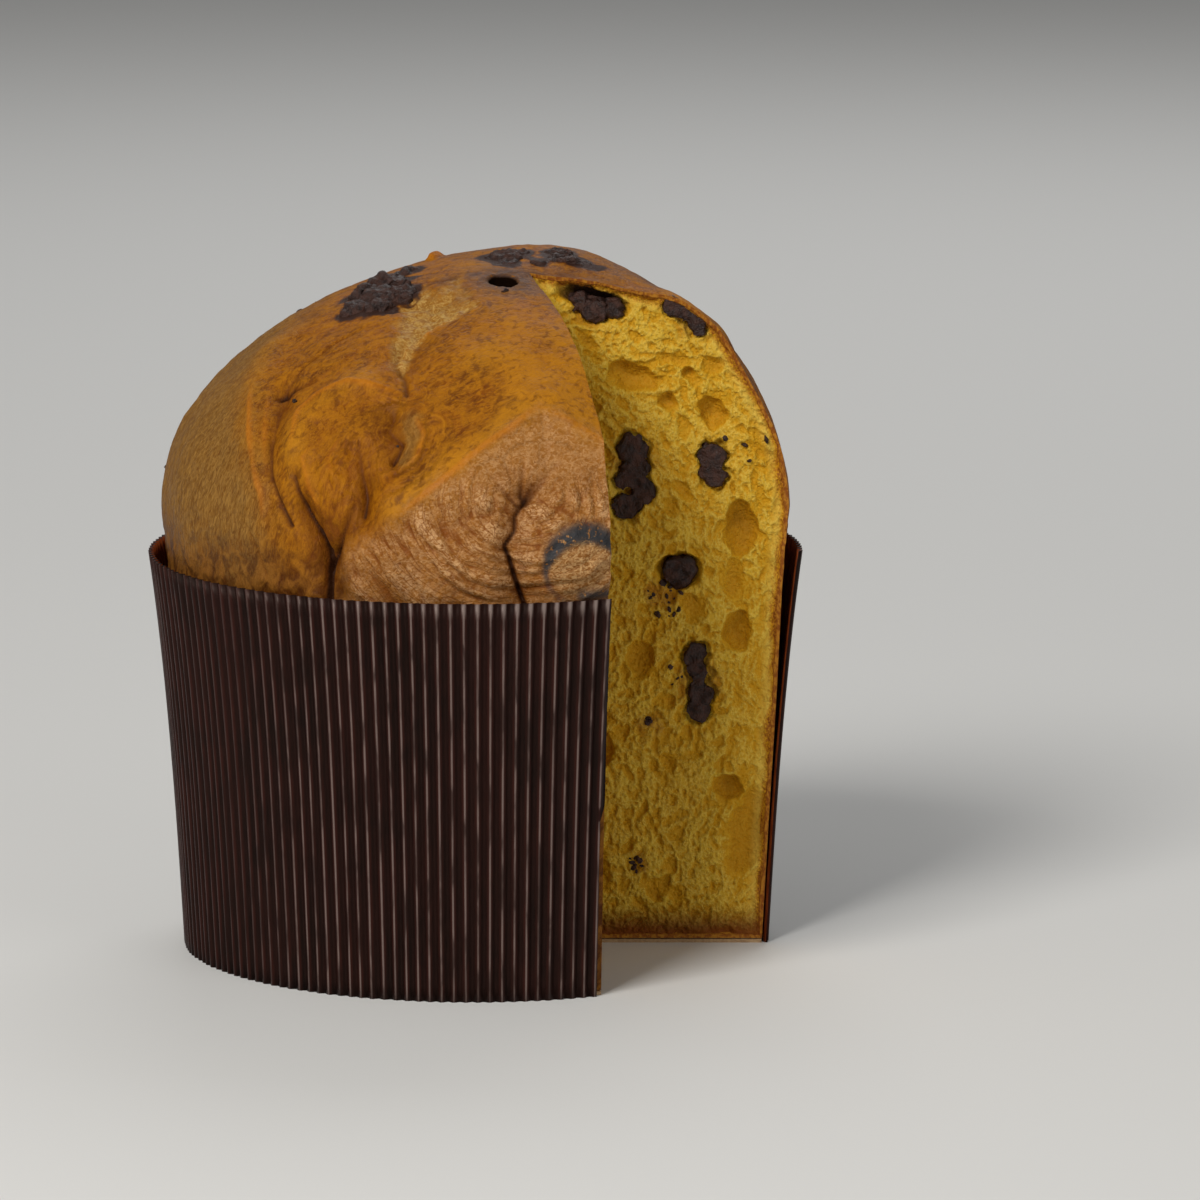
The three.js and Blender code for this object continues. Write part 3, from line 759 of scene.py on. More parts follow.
# A recess behind one cut face: the crust's own narrow section, and the sides and the floor that lie under
# the crumb. The ends are the points that both recesses share above and below the tip.
def recess(angle, points, faces, outer_ids, rim_ends, floor_ends):
    edge = onto_face(angle, np.array([points[i] for i in outer_ids]))
    spot = noise_spots(edge, 70)
    uneven = CRUST_THICKNESS + 0.35 * lumps(spot, 4, 61) + 0.2 * lumps(spot, 1.6, 62)
    uneven[[0, -1]] = CRUST_THICKNESS
    sunk = 0.15 + 0.12 * lumps(spot, 1.8, 63)
    rims = []
    floor_inset = CRUST_THICKNESS + RECESS_NARROWING
    for width, depth, ends in ((uneven, sunk[1:-1], rim_ends), (floor_inset, RECESS_DEPTH, floor_ends)):
        first = len(points)
        points += list(from_face(angle, inset(edge, width)[1:-1], depth))
        rims.append([ends[0], *range(first, len(points)), ends[1]])
    inner_ids, floor_ids = rims
    turned = angle == FRONT_FACE_ANGLE
    for one, two in ((outer_ids, inner_ids), (inner_ids, floor_ids)):
        for a, b, c, d in zip(one, two, two[1:], one[1:]):
            faces.append([a, d, c, b] if turned else [a, b, c, d])
    faces.append(floor_ids if turned else floor_ids[::-1])
    return edge


# The crust and all that it holds but the crumb's slabs, which lie in a recess behind each cut face.
def crust():
    grid = crust_grid()
    masks = crust_masks(grid)
    relief = crust_relief(grid, masks) * smooth_step(RELIEF_FOOT - 4, RELIEF_FOOT + 6, grid[..., 2])
    grid = grid + relief[..., None] * cake_normal(cake_azimuth(grid), grid[..., 2])
    grid[0] = onto_cut(grid[0], REAR_FACE_ANGLE)
    grid[-1] = onto_cut(grid[-1], FRONT_FACE_ANGLE)

    def at_tip(height):
        return np.array([CUT_TIP[0], CUT_TIP[1], height])

    corner = grid[:, -1]
    top = grid[0, 0, 2]
    shares = np.linspace(0, 1, FOOT_ROWS + 1)[1:-1]
    foot = corner[:, None] + shares[None, :, None] * (at_tip(CAKE_FOOT) - corner)[:, None]
    body = np.concatenate([grid[:, 1:], foot], 1)
    columns, rows = body.shape[:2]
    ids = np.arange(columns * rows).reshape(columns, rows)
    points = [*body.reshape(-1, 3), at_tip(top), at_tip(CAKE_FOOT)]
    top_id, foot_id = columns * rows, columns * rows + 1
    faces = [[top_id, int(a), int(b)] for a, b in zip(ids[:-1, 0], ids[1:, 0])]
    faces += [[int(a), foot_id, int(b)] for a, b in zip(ids[:-1, -1], ids[1:, -1])]
    faces += np.stack([ids[:-1, :-1], ids[:-1, 1:], ids[1:, 1:], ids[1:, :-1]], -1).reshape(-1, 4).tolist()
    crust_faces = len(faces)

    # Both recesses share the points above and below the tip, and their floors meet deep in the cake.
    bisector = (REAR_FACE_ANGLE + FRONT_FACE_ANGLE + 2 * pi) / 2
    inwards = RECESS_DEPTH / sin(bisector) * np.array([cos(bisector), sin(bisector), 0.0])
    low, high = CAKE_FOOT + CRUST_THICKNESS, top - CRUST_THICKNESS
    first_shared = len(points)
    points += [at_tip(high), at_tip(low)]
    points += [at_tip(high - RECESS_NARROWING) + inwards, at_tip(low + RECESS_NARROWING) + inwards]
    rim_ends, floor_ends = (first_shared, first_shared + 1), (first_shared + 2, first_shared + 3)
    edges = []
    for angle, column in ((REAR_FACE_ANGLE, 0), (FRONT_FACE_ANGLE, columns - 1)):
        outer_ids = [top_id, *ids[column].tolist(), foot_id]
        edges.append(recess(angle, points, faces, outer_ids, rim_ends, floor_ends))

    marks = {}
    for label, values in masks.items():
        marks[label] = np.zeros(len(points))
        along_foot = np.repeat(values[:, -1:], len(shares), 1)
        marks[label][: columns * rows] = np.concatenate([values[:, 1:], along_foot], 1).reshape(-1)
        marks[label][top_id] = values[0, 0]
    made = mesh_object("cake", points, faces, marks)
    mesh = made.data
    mesh.materials.append(crust_material())
    mesh.materials.append(crust_section_material())
    kinds = np.zeros(len(mesh.polygons), np.int32)
    kinds[crust_faces:] = 1
    mesh.polygons.foreach_set("material_index", kinds)
    rim = np.zeros(len(points), bool)
    rim[[top_id, foot_id, *ids[0].tolist(), *ids[-1].tolist(), *range(first_shared, len(points))]] = True
    ends = np.empty(len(mesh.edges) * 2, np.int32)
    mesh.edges.foreach_get("vertices", ends)
    mesh.edges.foreach_set("use_edge_sharp", rim[ends.reshape(-1, 2)].all(1))
    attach(made, "root")
    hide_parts("panettone")
    return edges, grid.reshape(-1, 3)


def cake():
    (rear_edge, front_edge), crust_points = crust()
    rear = crumb("crumb_rear", REAR_FACE_ANGLE, rear_edge, REAR_BUBBLES, REAR_STAINS, REAR_LININGS_AND_SHADE, 21)
    front = crumb("crumb_front", FRONT_FACE_ANGLE, front_edge, FRONT_BUBBLES, FRONT_STAINS, FRONT_LININGS_AND_SHADE, 22)
    return crust_points, [*rear, *front]


# A node tree with short ways to add to it. What a node is given is a value, or the socket that feeds it.
class Wiring:
    def __init__(self, tree):
        self.tree = tree

    def give(self, socket, value):
        if isinstance(value, bpy.types.NodeSocket):
            self.tree.links.new(value, socket)
        else:
            socket.default_value = value

    def add(self, kind, given=None, result=0, **settings):
        made = self.tree.nodes.new(kind)
        for name, value in settings.items():
            setattr(made, name, value)
        for name, value in (given or {}).items():
            self.give(made.inputs[name], value)
        return made.outputs[result]

    def maths(self, operation, *values):
        return self.add("ShaderNodeMath", dict(enumerate(values)), operation=operation)

    def plus(self, first, *others):
        for other in others:
            first = self.maths("ADD", first, other)
        return first

    def times(self, first, *others):
        for other in others:
            first = self.maths("MULTIPLY", first, other)
        return first

    def minus(self, first, second):
        return self.maths("SUBTRACT", first, second)

    def over(self, first, second):
        return self.maths("DIVIDE", first, second)

    def vector(self, operation, given):
        return self.add("ShaderNodeVectorMath", given, operation=operation)

    def noise(self, place, scale, detail, distortion=0.0):
        place = self.add("ShaderNodeCombineXYZ", place)
        given = {"Vector": place, "Scale": scale, "Detail": detail, "Distortion": distortion}
        return self.add("ShaderNodeTexNoise", given)


# A material under way. Its colour is laid on in coats, each with the share of the surface that it covers.
class Finish(Wiring):
    def __init__(self, name):
        self.material = bpy.data.materials.new(name)
        self.material.use_nodes = True
        super().__init__(self.material.node_tree)
        self.inputs = self.tree.nodes["Principled BSDF"].inputs

    def mark(self, name):
        return self.add("ShaderNodeAttribute", None, "Fac", attribute_name=name)

    def spread(self, value, low, high, to_low=0.0, to_high=1.0):
        given = {"Value": value, "From Min": low, "From Max": high, "To Min": to_low, "To Max": to_high}
        return self.add("ShaderNodeMapRange", given, interpolation_type="SMOOTHSTEP")

    # The share of a marked area: the least where the mark is low, and the most where it is high. Without
    # these two the share follows the mark itself.
    def area(self, name, low=None, high=None, most=1.0, least=0.0):
        if low is None:
            return self.times(self.mark(name), most)
        return self.spread(self.mark(name), low, high, least, most)

    def blend(self, share, first, second):
        return self.add("ShaderNodeMix", {0: share, 6: first, 7: second}, 2, data_type="RGBA")

    def coat(self, share, colour):
        self.colour = self.blend(share, self.colour, colour)

    def grain(self, size, detail, warp=0.0, tilt=0, between=None):
        turn = (0, radians(tilt), 0)
        given = {"Turn": turn, "Lump Size": [length * MM for length in size], "Detail": detail, "Warp": warp}
        grains = self.add("ShaderNodeGroup", given, node_tree=stretched_grain())
        return self.spread(grains, *between) if between else grains

    # Grain that is drawn out along a flow, whose two places are attributes in millimetres.
    def flow_grain(self, across, along, size, detail):
        place = {0: self.over(self.mark(across), size[0]), 1: self.over(self.mark(along), size[1])}
        return self.noise(place, 1.0, detail, 0.8)

    def place(self):
        return self.add("ShaderNodeTexCoord", None, "Object")

    def done(self, roughness, specular=0.5, height=None, strength=0.0, depth=0.0):
        self.give(self.inputs["Base Color"], self.colour)
        self.give(self.inputs["Roughness"], roughness)
        self.give(self.inputs["Specular IOR Level"], specular)
        if height is not None:
            bump = {"Strength": strength, "Distance": depth * MM, "Height": height}
            self.give(self.inputs["Normal"], self.add("ShaderNodeBump", bump))
        return self.material


def srgb(red, green, blue):
    shares = np.array([red, green, blue]) / 255
    linear = np.where(shares <= 0.04045, shares / 12.92, ((shares + 0.055) / 1.055) ** 2.4)
    return (*linear.tolist(), 1.0)


# Noise whose lumps have a size of their own along each axis of a turned frame.
def stretched_grain():
    known = bpy.data.node_groups.get("Stretched Grain")
    if known:
        return known
    group = bpy.data.node_groups.new("Stretched Grain", "ShaderNodeTree")
    for name, kind in (("Turn", "Vector"), ("Lump Size", "Vector"), ("Detail", "Float"), ("Warp", "Float")):
        group.interface.new_socket(name, in_out="INPUT", socket_type="NodeSocket" + kind)
    group.interface.new_socket("Value", in_out="OUTPUT", socket_type="NodeSocketFloat")
    entry = group.nodes.new("NodeGroupInput").outputs
    leave = group.nodes.new("NodeGroupOutput").inputs
    inside = Wiring(group)
    place = inside.add("ShaderNodeTexCoord", None, "Object")
    given = {"Vector": place, "Rotation": entry["Turn"], "Scale": entry["Lump Size"]}
    turned = inside.add("ShaderNodeMapping", given, vector_type="TEXTURE")
    given = {"Vector": turned, "Scale": 1.0, "Detail": entry["Detail"], "Distortion": entry["Warp"]}
    inside.give(leave["Value"], inside.add("ShaderNodeTexNoise", given))
    return group


# The crust's colours.
ORANGE = srgb(122, 65, 3)
DEEP_ORANGE = srgb(90, 45, 3)
GOLD = srgb(168, 107, 11)
FOLD_CREST_HIGHLIGHT = srgb(192, 130, 26)
BURNT = srgb(84, 39, 4)
TAN = srgb(139, 104, 51)
DARK_TAN = srgb(104, 69, 24)
PINK_BROWN = srgb(138, 87, 37)
PINK_LIGHT = srgb(202, 158, 110)
VALLEY_SHADE = srgb(116, 60, 12)
RIDGE_ORANGE = srgb(184, 108, 20)
TORN_YELLOW = srgb(188, 152, 84)
TORN_ORANGE = srgb(140, 94, 30)
BLISTER_BEIGE = srgb(200, 160, 108)
BLISTER_BROWN = srgb(128, 80, 32)
CHAR_GREY = srgb(54, 54, 56)
CREASE_SHADE = srgb(44, 20, 6)
CREASE_SOFT_SHADE = srgb(92, 46, 8)
RIM_BROWN = srgb(66, 30, 6)
RIM_LIGHT = srgb(124, 78, 26)
STREAK_BROWN = srgb(84, 46, 18)
HOLE_SHADE = srgb(16, 8, 4)
SMEAR_BROWN = srgb(88, 46, 16)
SMEAR_DARK = srgb(50, 33, 28)


def crust_material():
    skin = Finish("baked crust")
    area, blend, coat, times = skin.area, skin.blend, skin.coat, skin.times
    patches = skin.grain((18, 18, 24), 4, 0.8, 20, (0.38, 0.62))
    blotches = skin.grain((4, 4, 6), 4, 0.8, 40, (0.38, 0.64))
    upright = skin.grain((0.8, 0.8, 2.6), 5, 1.2, 12)
    slanted = skin.grain((0.9, 1.0, 3.2), 5, 1.2, 56)
    drawn_out = skin.flow_grain("flow_across", "flow_along", (1.0, 2.6), 5)
    front_fibre = blend(area("flow_across", 11.0, 3.0, 0.75), slanted, drawn_out)
    fibre = skin.spread(blend(skin.mark("left"), front_fibre, upright), 0.34, 0.66)
    strands = skin.flow_grain("pinch_away", "pinch_turn", (1.5, 5.5), 4)
    thin_line = skin.spread(skin.maths("ABSOLUTE", skin.minus(strands, 0.5)), 0.05, 0.0)
    line = times(thin_line, skin.mark("drawn"))
    mottle = skin.grain((1.3, 1.3, 0.9), 5, 1.2, 0, (0.34, 0.7))
    speckle = skin.grain((0.8, 0.8, 0.8), 3, 0.0, 0, (0.3, 0.7))
    flecks = skin.grain((2.0, 2.0, 2.8), 3, 0.6, 30, (0.5, 0.7))
    dots = skin.grain((1.4, 1.4, 1.4), 1, 0.0, 0, (0.7, 0.77))
    char = skin.grain((1.1, 1.1, 1.1), 4, 0.0, 0, (0.3, 0.42))
    even_skin = skin.maths("MAXIMUM", skin.mark("pale"), skin.mark("pink"))
    # Painted highlight: the crests of the pink lobe's wrinkles are lightened.
    wrinkle_crest_highlight = times(area("wrinkle", 0.0, 0.8, 0.75), mottle, skin.mark("pink"))

    skin.colour = blend(patches, DEEP_ORANGE, ORANGE)
    coat(times(blotches, 0.5), GOLD)
    coat(times(fibre, 0.62), GOLD)
    # Painted light: broad fold crests get a painted highlight, and fold valleys a painted shade in burnt
    # brown.
    coat(area("fold", 0.2, 2.4, 0.4), FOLD_CREST_HIGHLIGHT)
    coat(area("fold", -0.4, -2.6, 0.48), BURNT)
    coat(area("pale", most=0.85), blend(fibre, DARK_TAN, TAN))
    coat(area("pink", most=0.75), blend(times(mottle, 0.6), PINK_BROWN, PINK_LIGHT))
    coat(times(flecks, skin.minus(1.4, even_skin), 0.4), BURNT)
    # Painted shade: the wrinkles' valleys and the thin grooves drawn round the pinches are darkened.
    coat(area("wrinkle", -0.25, -0.7, 0.85), VALLEY_SHADE)
    coat(wrinkle_crest_highlight, PINK_LIGHT)
    coat(times(line, 0.6), VALLEY_SHADE)
    coat(area("ridge", 0.1, 0.9, 0.5), RIDGE_ORANGE)
    coat(area("blister", most=0.85), blend(mottle, BLISTER_BROWN, BLISTER_BEIGE))
    coat(area("torn", most=0.8), blend(mottle, TORN_ORANGE, TORN_YELLOW))
    coat(area("low", most=0.85), blend(blotches, RIM_BROWN, RIM_LIGHT))
    coat(area("streak", most=0.75), STREAK_BROWN)
    coat(times(dots, 0.3), BURNT)
    coat(times(skin.mark("ring"), char), CHAR_GREY)
    # Painted shade: the sharp creases are painted dark brown, softly around them and darkest in their depth.
    coat(area("crease", 0.15, 0.9, 0.7), CREASE_SOFT_SHADE)
    coat(area("crease", 0.6, 1.5, 0.95), CREASE_SHADE)
    coat(area("smear", 0.1, 0.5, 0.8), SMEAR_BROWN)
    coat(area("smear", 0.45, 0.8, 0.95), SMEAR_DARK)
    # Painted shade: the hole's inside is painted near black.
    coat(area("hole", 0.02, 0.35), HOLE_SHADE)

    roughness = skin.minus(skin.spread(blotches, 0.0, 1.0, 0.5, 0.62), area("pink", most=0.14))
    specular = times(area("hole", 0.35, 0.02), 0.09)
    height = skin.plus(fibre, times(speckle, 0.5), times(blotches, 1.2), times(line, -1.6))
    return skin.done(roughness, specular, height, 0.5, 0.2)


# The colours of the cut faces.
CRUMB_WALL = srgb(196, 156, 40)
CRUMB_YELLOW = srgb(184, 131, 8)
CRUMB_PORE_SHADE = srgb(162, 107, 3)
CRUMB_BUBBLE_SHADE = srgb(120, 74, 3)
CRUMB_PALE = srgb(209, 178, 78)
BAKED_EDGE = srgb(124, 66, 10)
BAKED_LIGHT = srgb(166, 110, 28)
BAKED_FOOT = srgb(108, 52, 6)
CHOCOLATE_STAIN = srgb(140, 84, 26)
CHOCOLATE_LINING_AND_SHADE = srgb(34, 17, 10)


# The narrow face where the cut goes through the crust itself.
def crust_section_material():
    section = Finish("cut crust")
    fine = section.grain((0.8, 0.8, 1.2), 4, 0.4)
    section.colour = section.blend(section.spread(fine, 0.38, 0.64), BAKED_EDGE, BAKED_LIGHT)
    return section.done(0.7, 0.2, fine, 0.8, 0.3)


def crumb_material():
    known = bpy.data.materials.get("open crumb")
    if known:
        return known
    porous = Finish("open crumb")
    area, blend, coat, spread, times = porous.area, porous.blend, porous.coat, porous.spread, porous.times
    place = porous.place()
    wavy = {"Vector": place, "Scale": 1 / (2 * MM), "Detail": 2.0}
    shift = porous.vector("SCALE", {0: porous.add("ShaderNodeTexNoise", wavy, "Color"), "Scale": 1.2 * MM})
    cells = {"Vector": porous.vector("ADD", {0: place, 1: shift}), "Scale": 1 / (1.0 * MM)}
    small = spread(porous.add("ShaderNodeTexVoronoi", cells, "Distance"), 0.15, 0.65)
    fine = porous.grain((0.5, 0.5, 0.8), 4, 0.6)
    mottled = spread(fine, 0.38, 0.62)
    broad = porous.grain((9, 9, 16), 3, between=(0.38, 0.62))
    wall = blend(times(broad, 0.4), CRUMB_WALL, CRUMB_YELLOW)
    wall = blend(times(mottled, 0.6), wall, CRUMB_PALE)
    inner = blend(times(mottled, 0.55), CRUMB_YELLOW, CRUMB_WALL)
    uneven = times(porous.minus(broad, 0.5), 1.4)
    edge = porous.plus(porous.mark("skin"), uneven, times(fine, 2.0))
    foot = porous.plus(porous.mark("foot"), times(fine, 5.0))

    # Painted shade: the crumb turns darker and more yellow with the depth of its pores and bubbles, and in
    # the fine pits of its cells.
    porous.colour = blend(area("pore", 0.05, 0.7), wall, inner)
    coat(spread(small, 0.5, 0.0, 0.0, 0.45), CRUMB_YELLOW)
    coat(area("pore", 0.8, 1.8, 0.4), CRUMB_PORE_SHADE)
    coat(area("pore", 2.8, 5.0, 0.35), CRUMB_BUBBLE_SHADE)
    coat(times(area("skin", 5.5, 2.5), 0.5), CRUMB_PALE)
    coat(spread(edge, 4.4, 2.6), blend(mottled, BAKED_LIGHT, CRUMB_YELLOW))
    coat(spread(edge, 3.0, 1.9), blend(mottled, BAKED_EDGE, BAKED_LIGHT))
    coat(spread(foot, 13.5, 4.4, 0.0, 0.92), BAKED_FOOT)
    coat(times(porous.mark("stain"), spread(fine, 0.35, 0.65, 0.2, 0.75)), CHOCOLATE_STAIN)
    # Chocolate and painted shade: the deeper parts of the lined hollows are painted near black.
    coat(times(porous.mark("lining_and_shade"), area("pore", 0.8, 2.4)), CHOCOLATE_LINING_AND_SHADE)
    return porous.done(0.65, 0.15, porous.plus(times(small, 0.9), fine), 0.7, 0.35)


PAPER_DARK = srgb(15, 5, 3)
PAPER_BROWN = srgb(27, 9, 6)
PAPER_FIBRE = srgb(40, 17, 12)
PAPER_FLANK_LIGHT = srgb(56, 20, 14)
PAPER_CREST_HIGHLIGHT = srgb(122, 106, 100)
PAPER_RIM_FLARE_HIGHLIGHT = srgb(126, 112, 106)
PAPER_INSIDE = srgb(92, 36, 12)
PAPER_INSIDE_LIGHT = srgb(126, 58, 22)


# Dark paper. Its ribs carry painted light: flanks lighter towards the crests, thin painted highlights on the
# crests and painted highlight flares near the rim, all weaker towards the left. Its inner side is redder.
def paper_material():
    paper = Finish("dark baking paper")
    area, blend, coat, times = paper.area, paper.blend, paper.coat, paper.times
    cloud = paper.grain((9, 9, 30), 3, 0.5, between=(0.3, 0.7))
    fibre = paper.grain((0.6, 0.6, 5), 3, between=(0.3, 0.7))
    highlight_breakup = paper.grain((2.2, 2.2, 14), 4, 0.3, between=(0.34, 0.6, 0.2, 1.0))
    across, _, level = paper.add("ShaderNodeSeparateXYZ", {0: paper.place()}).node.outputs
    # Painted light: how strongly the crest highlights and the rim flares show, weaker towards the left.
    highlight_falloff = paper.spread(across, -66 * MM, -40 * MM, 0.1, 0.75)
    near_rim = paper.spread(level, (CASE_HEIGHT - 5) * MM, (CASE_HEIGHT - 0.5) * MM, 0.0, 0.8)
    flare_falloff = paper.spread(across, -60 * MM, 25 * MM, 0.1, 1.0)

    paper.colour = blend(cloud, PAPER_DARK, PAPER_BROWN)
    coat(times(fibre, 0.25), PAPER_FIBRE)
    # Painted light: lighter flanks, crest highlights and rim flares, broken up by grain.
    coat(times(area("crest", 0.3, 0.85, 0.5), highlight_breakup), PAPER_FLANK_LIGHT)
    coat(times(area("crest", 0.88, 1.0), highlight_falloff, highlight_breakup), PAPER_CREST_HIGHLIGHT)
    coat(times(area("crest", 0.55, 1.0), near_rim, flare_falloff), PAPER_RIM_FLARE_HIGHLIGHT)
    coat(paper.mark("inner"), blend(fibre, PAPER_INSIDE, PAPER_INSIDE_LIGHT))
    paper.inputs["Specular Tint"].default_value = (1, 0.82, 0.74, 1)
    return paper.done(area("crest", 0.2, 1, 0.36, 0.62), 0.14, fibre, 0.3, 0.1)


CARD_BROWN = srgb(150, 118, 84)
CARD_LIGHT = srgb(176, 146, 108)


def card_material():
    card = Finish("plain card")
    fibre = card.grain((0.8, 3, 0.8), 4, between=(0.3, 0.7))
    card.colour = card.blend(fibre, CARD_BROWN, CARD_LIGHT)
    return card.done(0.85)


CHOCOLATE_DARK = srgb(32, 16, 11)
CHOCOLATE_LIGHT = srgb(64, 37, 27)


def chocolate_material():
    lump = Finish("dark chocolate")
    cloud = lump.grain((2.2, 2.2, 2.2), 4, 0.4, between=(0.3, 0.7))
    fine = lump.grain((0.5, 0.5, 0.5), 3, between=(0.3, 0.7))
    lump.colour = lump.blend(cloud, CHOCOLATE_DARK, CHOCOLATE_LIGHT)
    return lump.done(lump.spread(cloud, 0, 1, 0.42, 0.62), 0.35, fine, 0.7, 0.3)


# A Geometry Nodes tree with named inputs, given as {name: (socket type, value)}.
class Grower(Wiring):
    def __init__(self, name, inputs):
        super().__init__(bpy.data.node_groups.new(name, "GeometryNodeTree"))
        face = self.tree.interface
        face.new_socket("Geometry", in_out="INPUT", socket_type="NodeSocketGeometry")
        for label, (kind, _) in inputs.items():
            face.new_socket(label, in_out="INPUT", socket_type=kind)
        face.new_socket("Geometry", in_out="OUTPUT", socket_type="NodeSocketGeometry")
        self.values = {label: value for label, (_, value) in inputs.items()}
        self.given = self.tree.nodes.new("NodeGroupInput").outputs

    def store(self, geometry, domain, name, value):
        given = {"Geometry": geometry, "Name": name, "Value": value}
        return self.add("GeometryNodeStoreNamedAttribute", given, data_type="FLOAT", domain=domain)

    def close(self, geometry, material):
        real = self.add("GeometryNodeRealizeInstances", {0: geometry})
        dressed = self.add("GeometryNodeSetMaterial", {"Geometry": real, "Material": material})
        self.tree.links.new(dressed, self.tree.nodes.new("NodeGroupOutput").inputs[0])

    # Runs the tree and gives the result as a plain mesh object.
    def grow(self, name, start=None):
        seed = bpy.data.objects.new(name + " seed", start or bpy.data.meshes.new(name + " seed"))
        bpy.context.scene.collection.objects.link(seed)
        modifier = seed.modifiers.new("Grow", "NODES")
        modifier.node_group = self.tree
        for item in self.tree.interface.items_tree:
            if item.in_out == "INPUT" and item.name in self.values:
                modifier[item.identifier] = self.values[item.name]
        graph = bpy.context.evaluated_depsgraph_get()
        shaped = seed.evaluated_get(graph)
        mesh = bpy.data.meshes.new_from_object(shaped, preserve_all_data_layers=True, depsgraph=graph)
        seed.modifiers.remove(modifier)
        bpy.data.objects.remove(seed)
        mesh.name = name
        made = bpy.data.objects.new(name, mesh)
        bpy.context.scene.collection.objects.link(made)
        return made


PAPER_INPUTS = {
    "Ribs": ("NodeSocketInt", RIB_COUNT),
    "Points Per Rib": ("NodeSocketInt", 9),
    "Rows": ("NodeSocketInt", 26),
    "Height": ("NodeSocketFloat", CASE_HEIGHT * MM),
    "Foot Radius": ("NodeSocketFloat", CASE_FOOT_RADIUS * MM),
    "Lean": ("NodeSocketFloat", CASE_LEAN),
    "Flare": ("NodeSocketFloat", CASE_FLARE * MM),
    "Rib Depth": ("NodeSocketFloat", RIB_DEPTH * MM),
    "Thickness": ("NodeSocketFloat", PAPER_THICKNESS * MM),
    "Tip X": ("NodeSocketFloat", CUT_TIP[0] * MM),
    "Tip Y": ("NodeSocketFloat", CUT_TIP[1] * MM),
    "Front Angle": ("NodeSocketFloat", FRONT_FACE_ANGLE),
    "Ragged": ("NodeSocketFloat", 0.35 * MM),
    "Step Height": ("NodeSocketFloat", 52 * MM),
    "Step": ("NodeSocketFloat", 1.7 * MM),
    "Edge Sharpness": ("NodeSocketFloat", 220.0),
    "Wobble": ("NodeSocketFloat", 0.012),
    "Dent": ("NodeSocketFloat", 1.2 * MM),
    "Weld": ("NodeSocketFloat", 0.02 * MM),
    "Seed": ("NodeSocketFloat", 5.0),
}


# A ribbed wall round the cake, from one cut face to the other. Its angles follow from the cut's planes.
def paper_tree(material):
    wall = Grower("ribbed paper wall", PAPER_INPUTS)
    given, maths, plus, minus = wall.given, wall.maths, wall.plus, wall.minus
    times, over = wall.times, wall.over
    columns = times(given["Ribs"], given["Points Per Rib"])
    size = {"Size X": 1.0, "Size Y": 1.0, "Vertices X": columns, "Vertices Y": given["Rows"]}
    grid = wall.add("GeometryNodeMeshGrid", size)
    place = wall.add("GeometryNodeInputPosition")
    flat = wall.add("ShaderNodeSeparateXYZ", {0: place}).node.outputs
    share = plus(flat[0], 0.5)
    up_share = plus(flat[1], 0.5)
    height = times(up_share, given["Height"])
    flare = times(maths("POWER", up_share, 3.0), given["Flare"])
    crest = plus(given["Foot Radius"], times(height, given["Lean"]), flare)

    # The angles of the two edges, torn a little, and of all that lies between them.
    rear = maths("ARCSINE", over(given["Tip Y"], crest))
    front_x = maths("COSINE", given["Front Angle"])
    front_y = maths("SINE", given["Front Angle"])
    offset = minus(times(front_x, given["Tip Y"]), times(front_y, given["Tip X"]))
    front = plus(given["Front Angle"], maths("ARCSINE", over(offset, crest)))
    torn = wall.noise({0: given["Seed"], 2: height}, 260.0, 3.0)
    torn_width = times(minus(torn, 0.6), times(given["Ragged"], 2.0))
    step_width = times(maths("LESS_THAN", height, given["Step Height"]), given["Step"], -1.0)
    sweep = minus(plus(front, 2 * pi), rear)
    near_front = maths("POWER", share, given["Edge Sharpness"])
    near_rear = maths("POWER", minus(1.0, share), given["Edge Sharpness"])
    front_shift = times(near_front, over(plus(torn_width, step_width), crest))
    rear_shift = times(near_rear, over(torn_width, crest))
    angle = minus(plus(rear, times(sweep, share), front_shift), rear_shift)

    # The ribs, which wander a little and are dented here and there.
    wobble = wall.noise({0: times(angle, 3.0), 1: height}, 2.2, 2.0)
    turned = plus(angle, times(minus(wobble, 0.5), given["Wobble"]))
    rounded = times(plus(maths("COSINE", times(turned, given["Ribs"])), 1.0), 0.5)
    sunk = times(minus(1.0, maths("POWER", rounded, 0.8)), given["Rib Depth"])
    dent = times(minus(wobble, 0.62), given["Dent"])
    radius = plus(minus(crest, sunk), maths("MINIMUM", dent, 0.0))
    x = times(radius, maths("COSINE", angle))
    y = times(radius, maths("SINE", angle))
    rib_place = wall.add("ShaderNodeCombineXYZ", {0: x, 1: y, 2: height})
    marked = wall.store(grid, "POINT", "crest", rounded)
    outer = wall.add("GeometryNodeSetPosition", {"Geometry": marked, "Position": rib_place})

    # The inner side, square to the wall in plan, and the edges that join it to the outer side.
    outwards = wall.vector("NORMALIZE", {0: wall.vector("MULTIPLY", {0: place, 1: (1, 1, 0)})})
    inwards = wall.vector("SCALE", {0: outwards, "Scale": times(given["Thickness"], -1.0)})
    extrusion = {"Mesh": outer, "Offset": inwards, "Offset Scale": 1.0, "Individual": False}
    inner = wall.add("GeometryNodeExtrudeMesh", extrusion)
    inner = wall.store(inner, "FACE", "inner", inner.node.outputs["Top"])
    joined = wall.add("GeometryNodeJoinGeometry", {0: wall.add("GeometryNodeFlipFaces", {0: inner})})
    wall.tree.links.new(outer, joined.node.inputs[0])
    welded = wall.add("GeometryNodeMergeByDistance", {"Geometry": joined, "Distance": given["Weld"]})
    wall.close(wall.add("GeometryNodeSetShadeSmooth", {"Geometry": welded}), material)
    return wall


def paper_case():
    wall = paper_tree(paper_material()).grow("paper_wall")
    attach(wall, "root")
    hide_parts("case_wall")
    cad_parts["case_base"].material_slots[0].material = card_material()


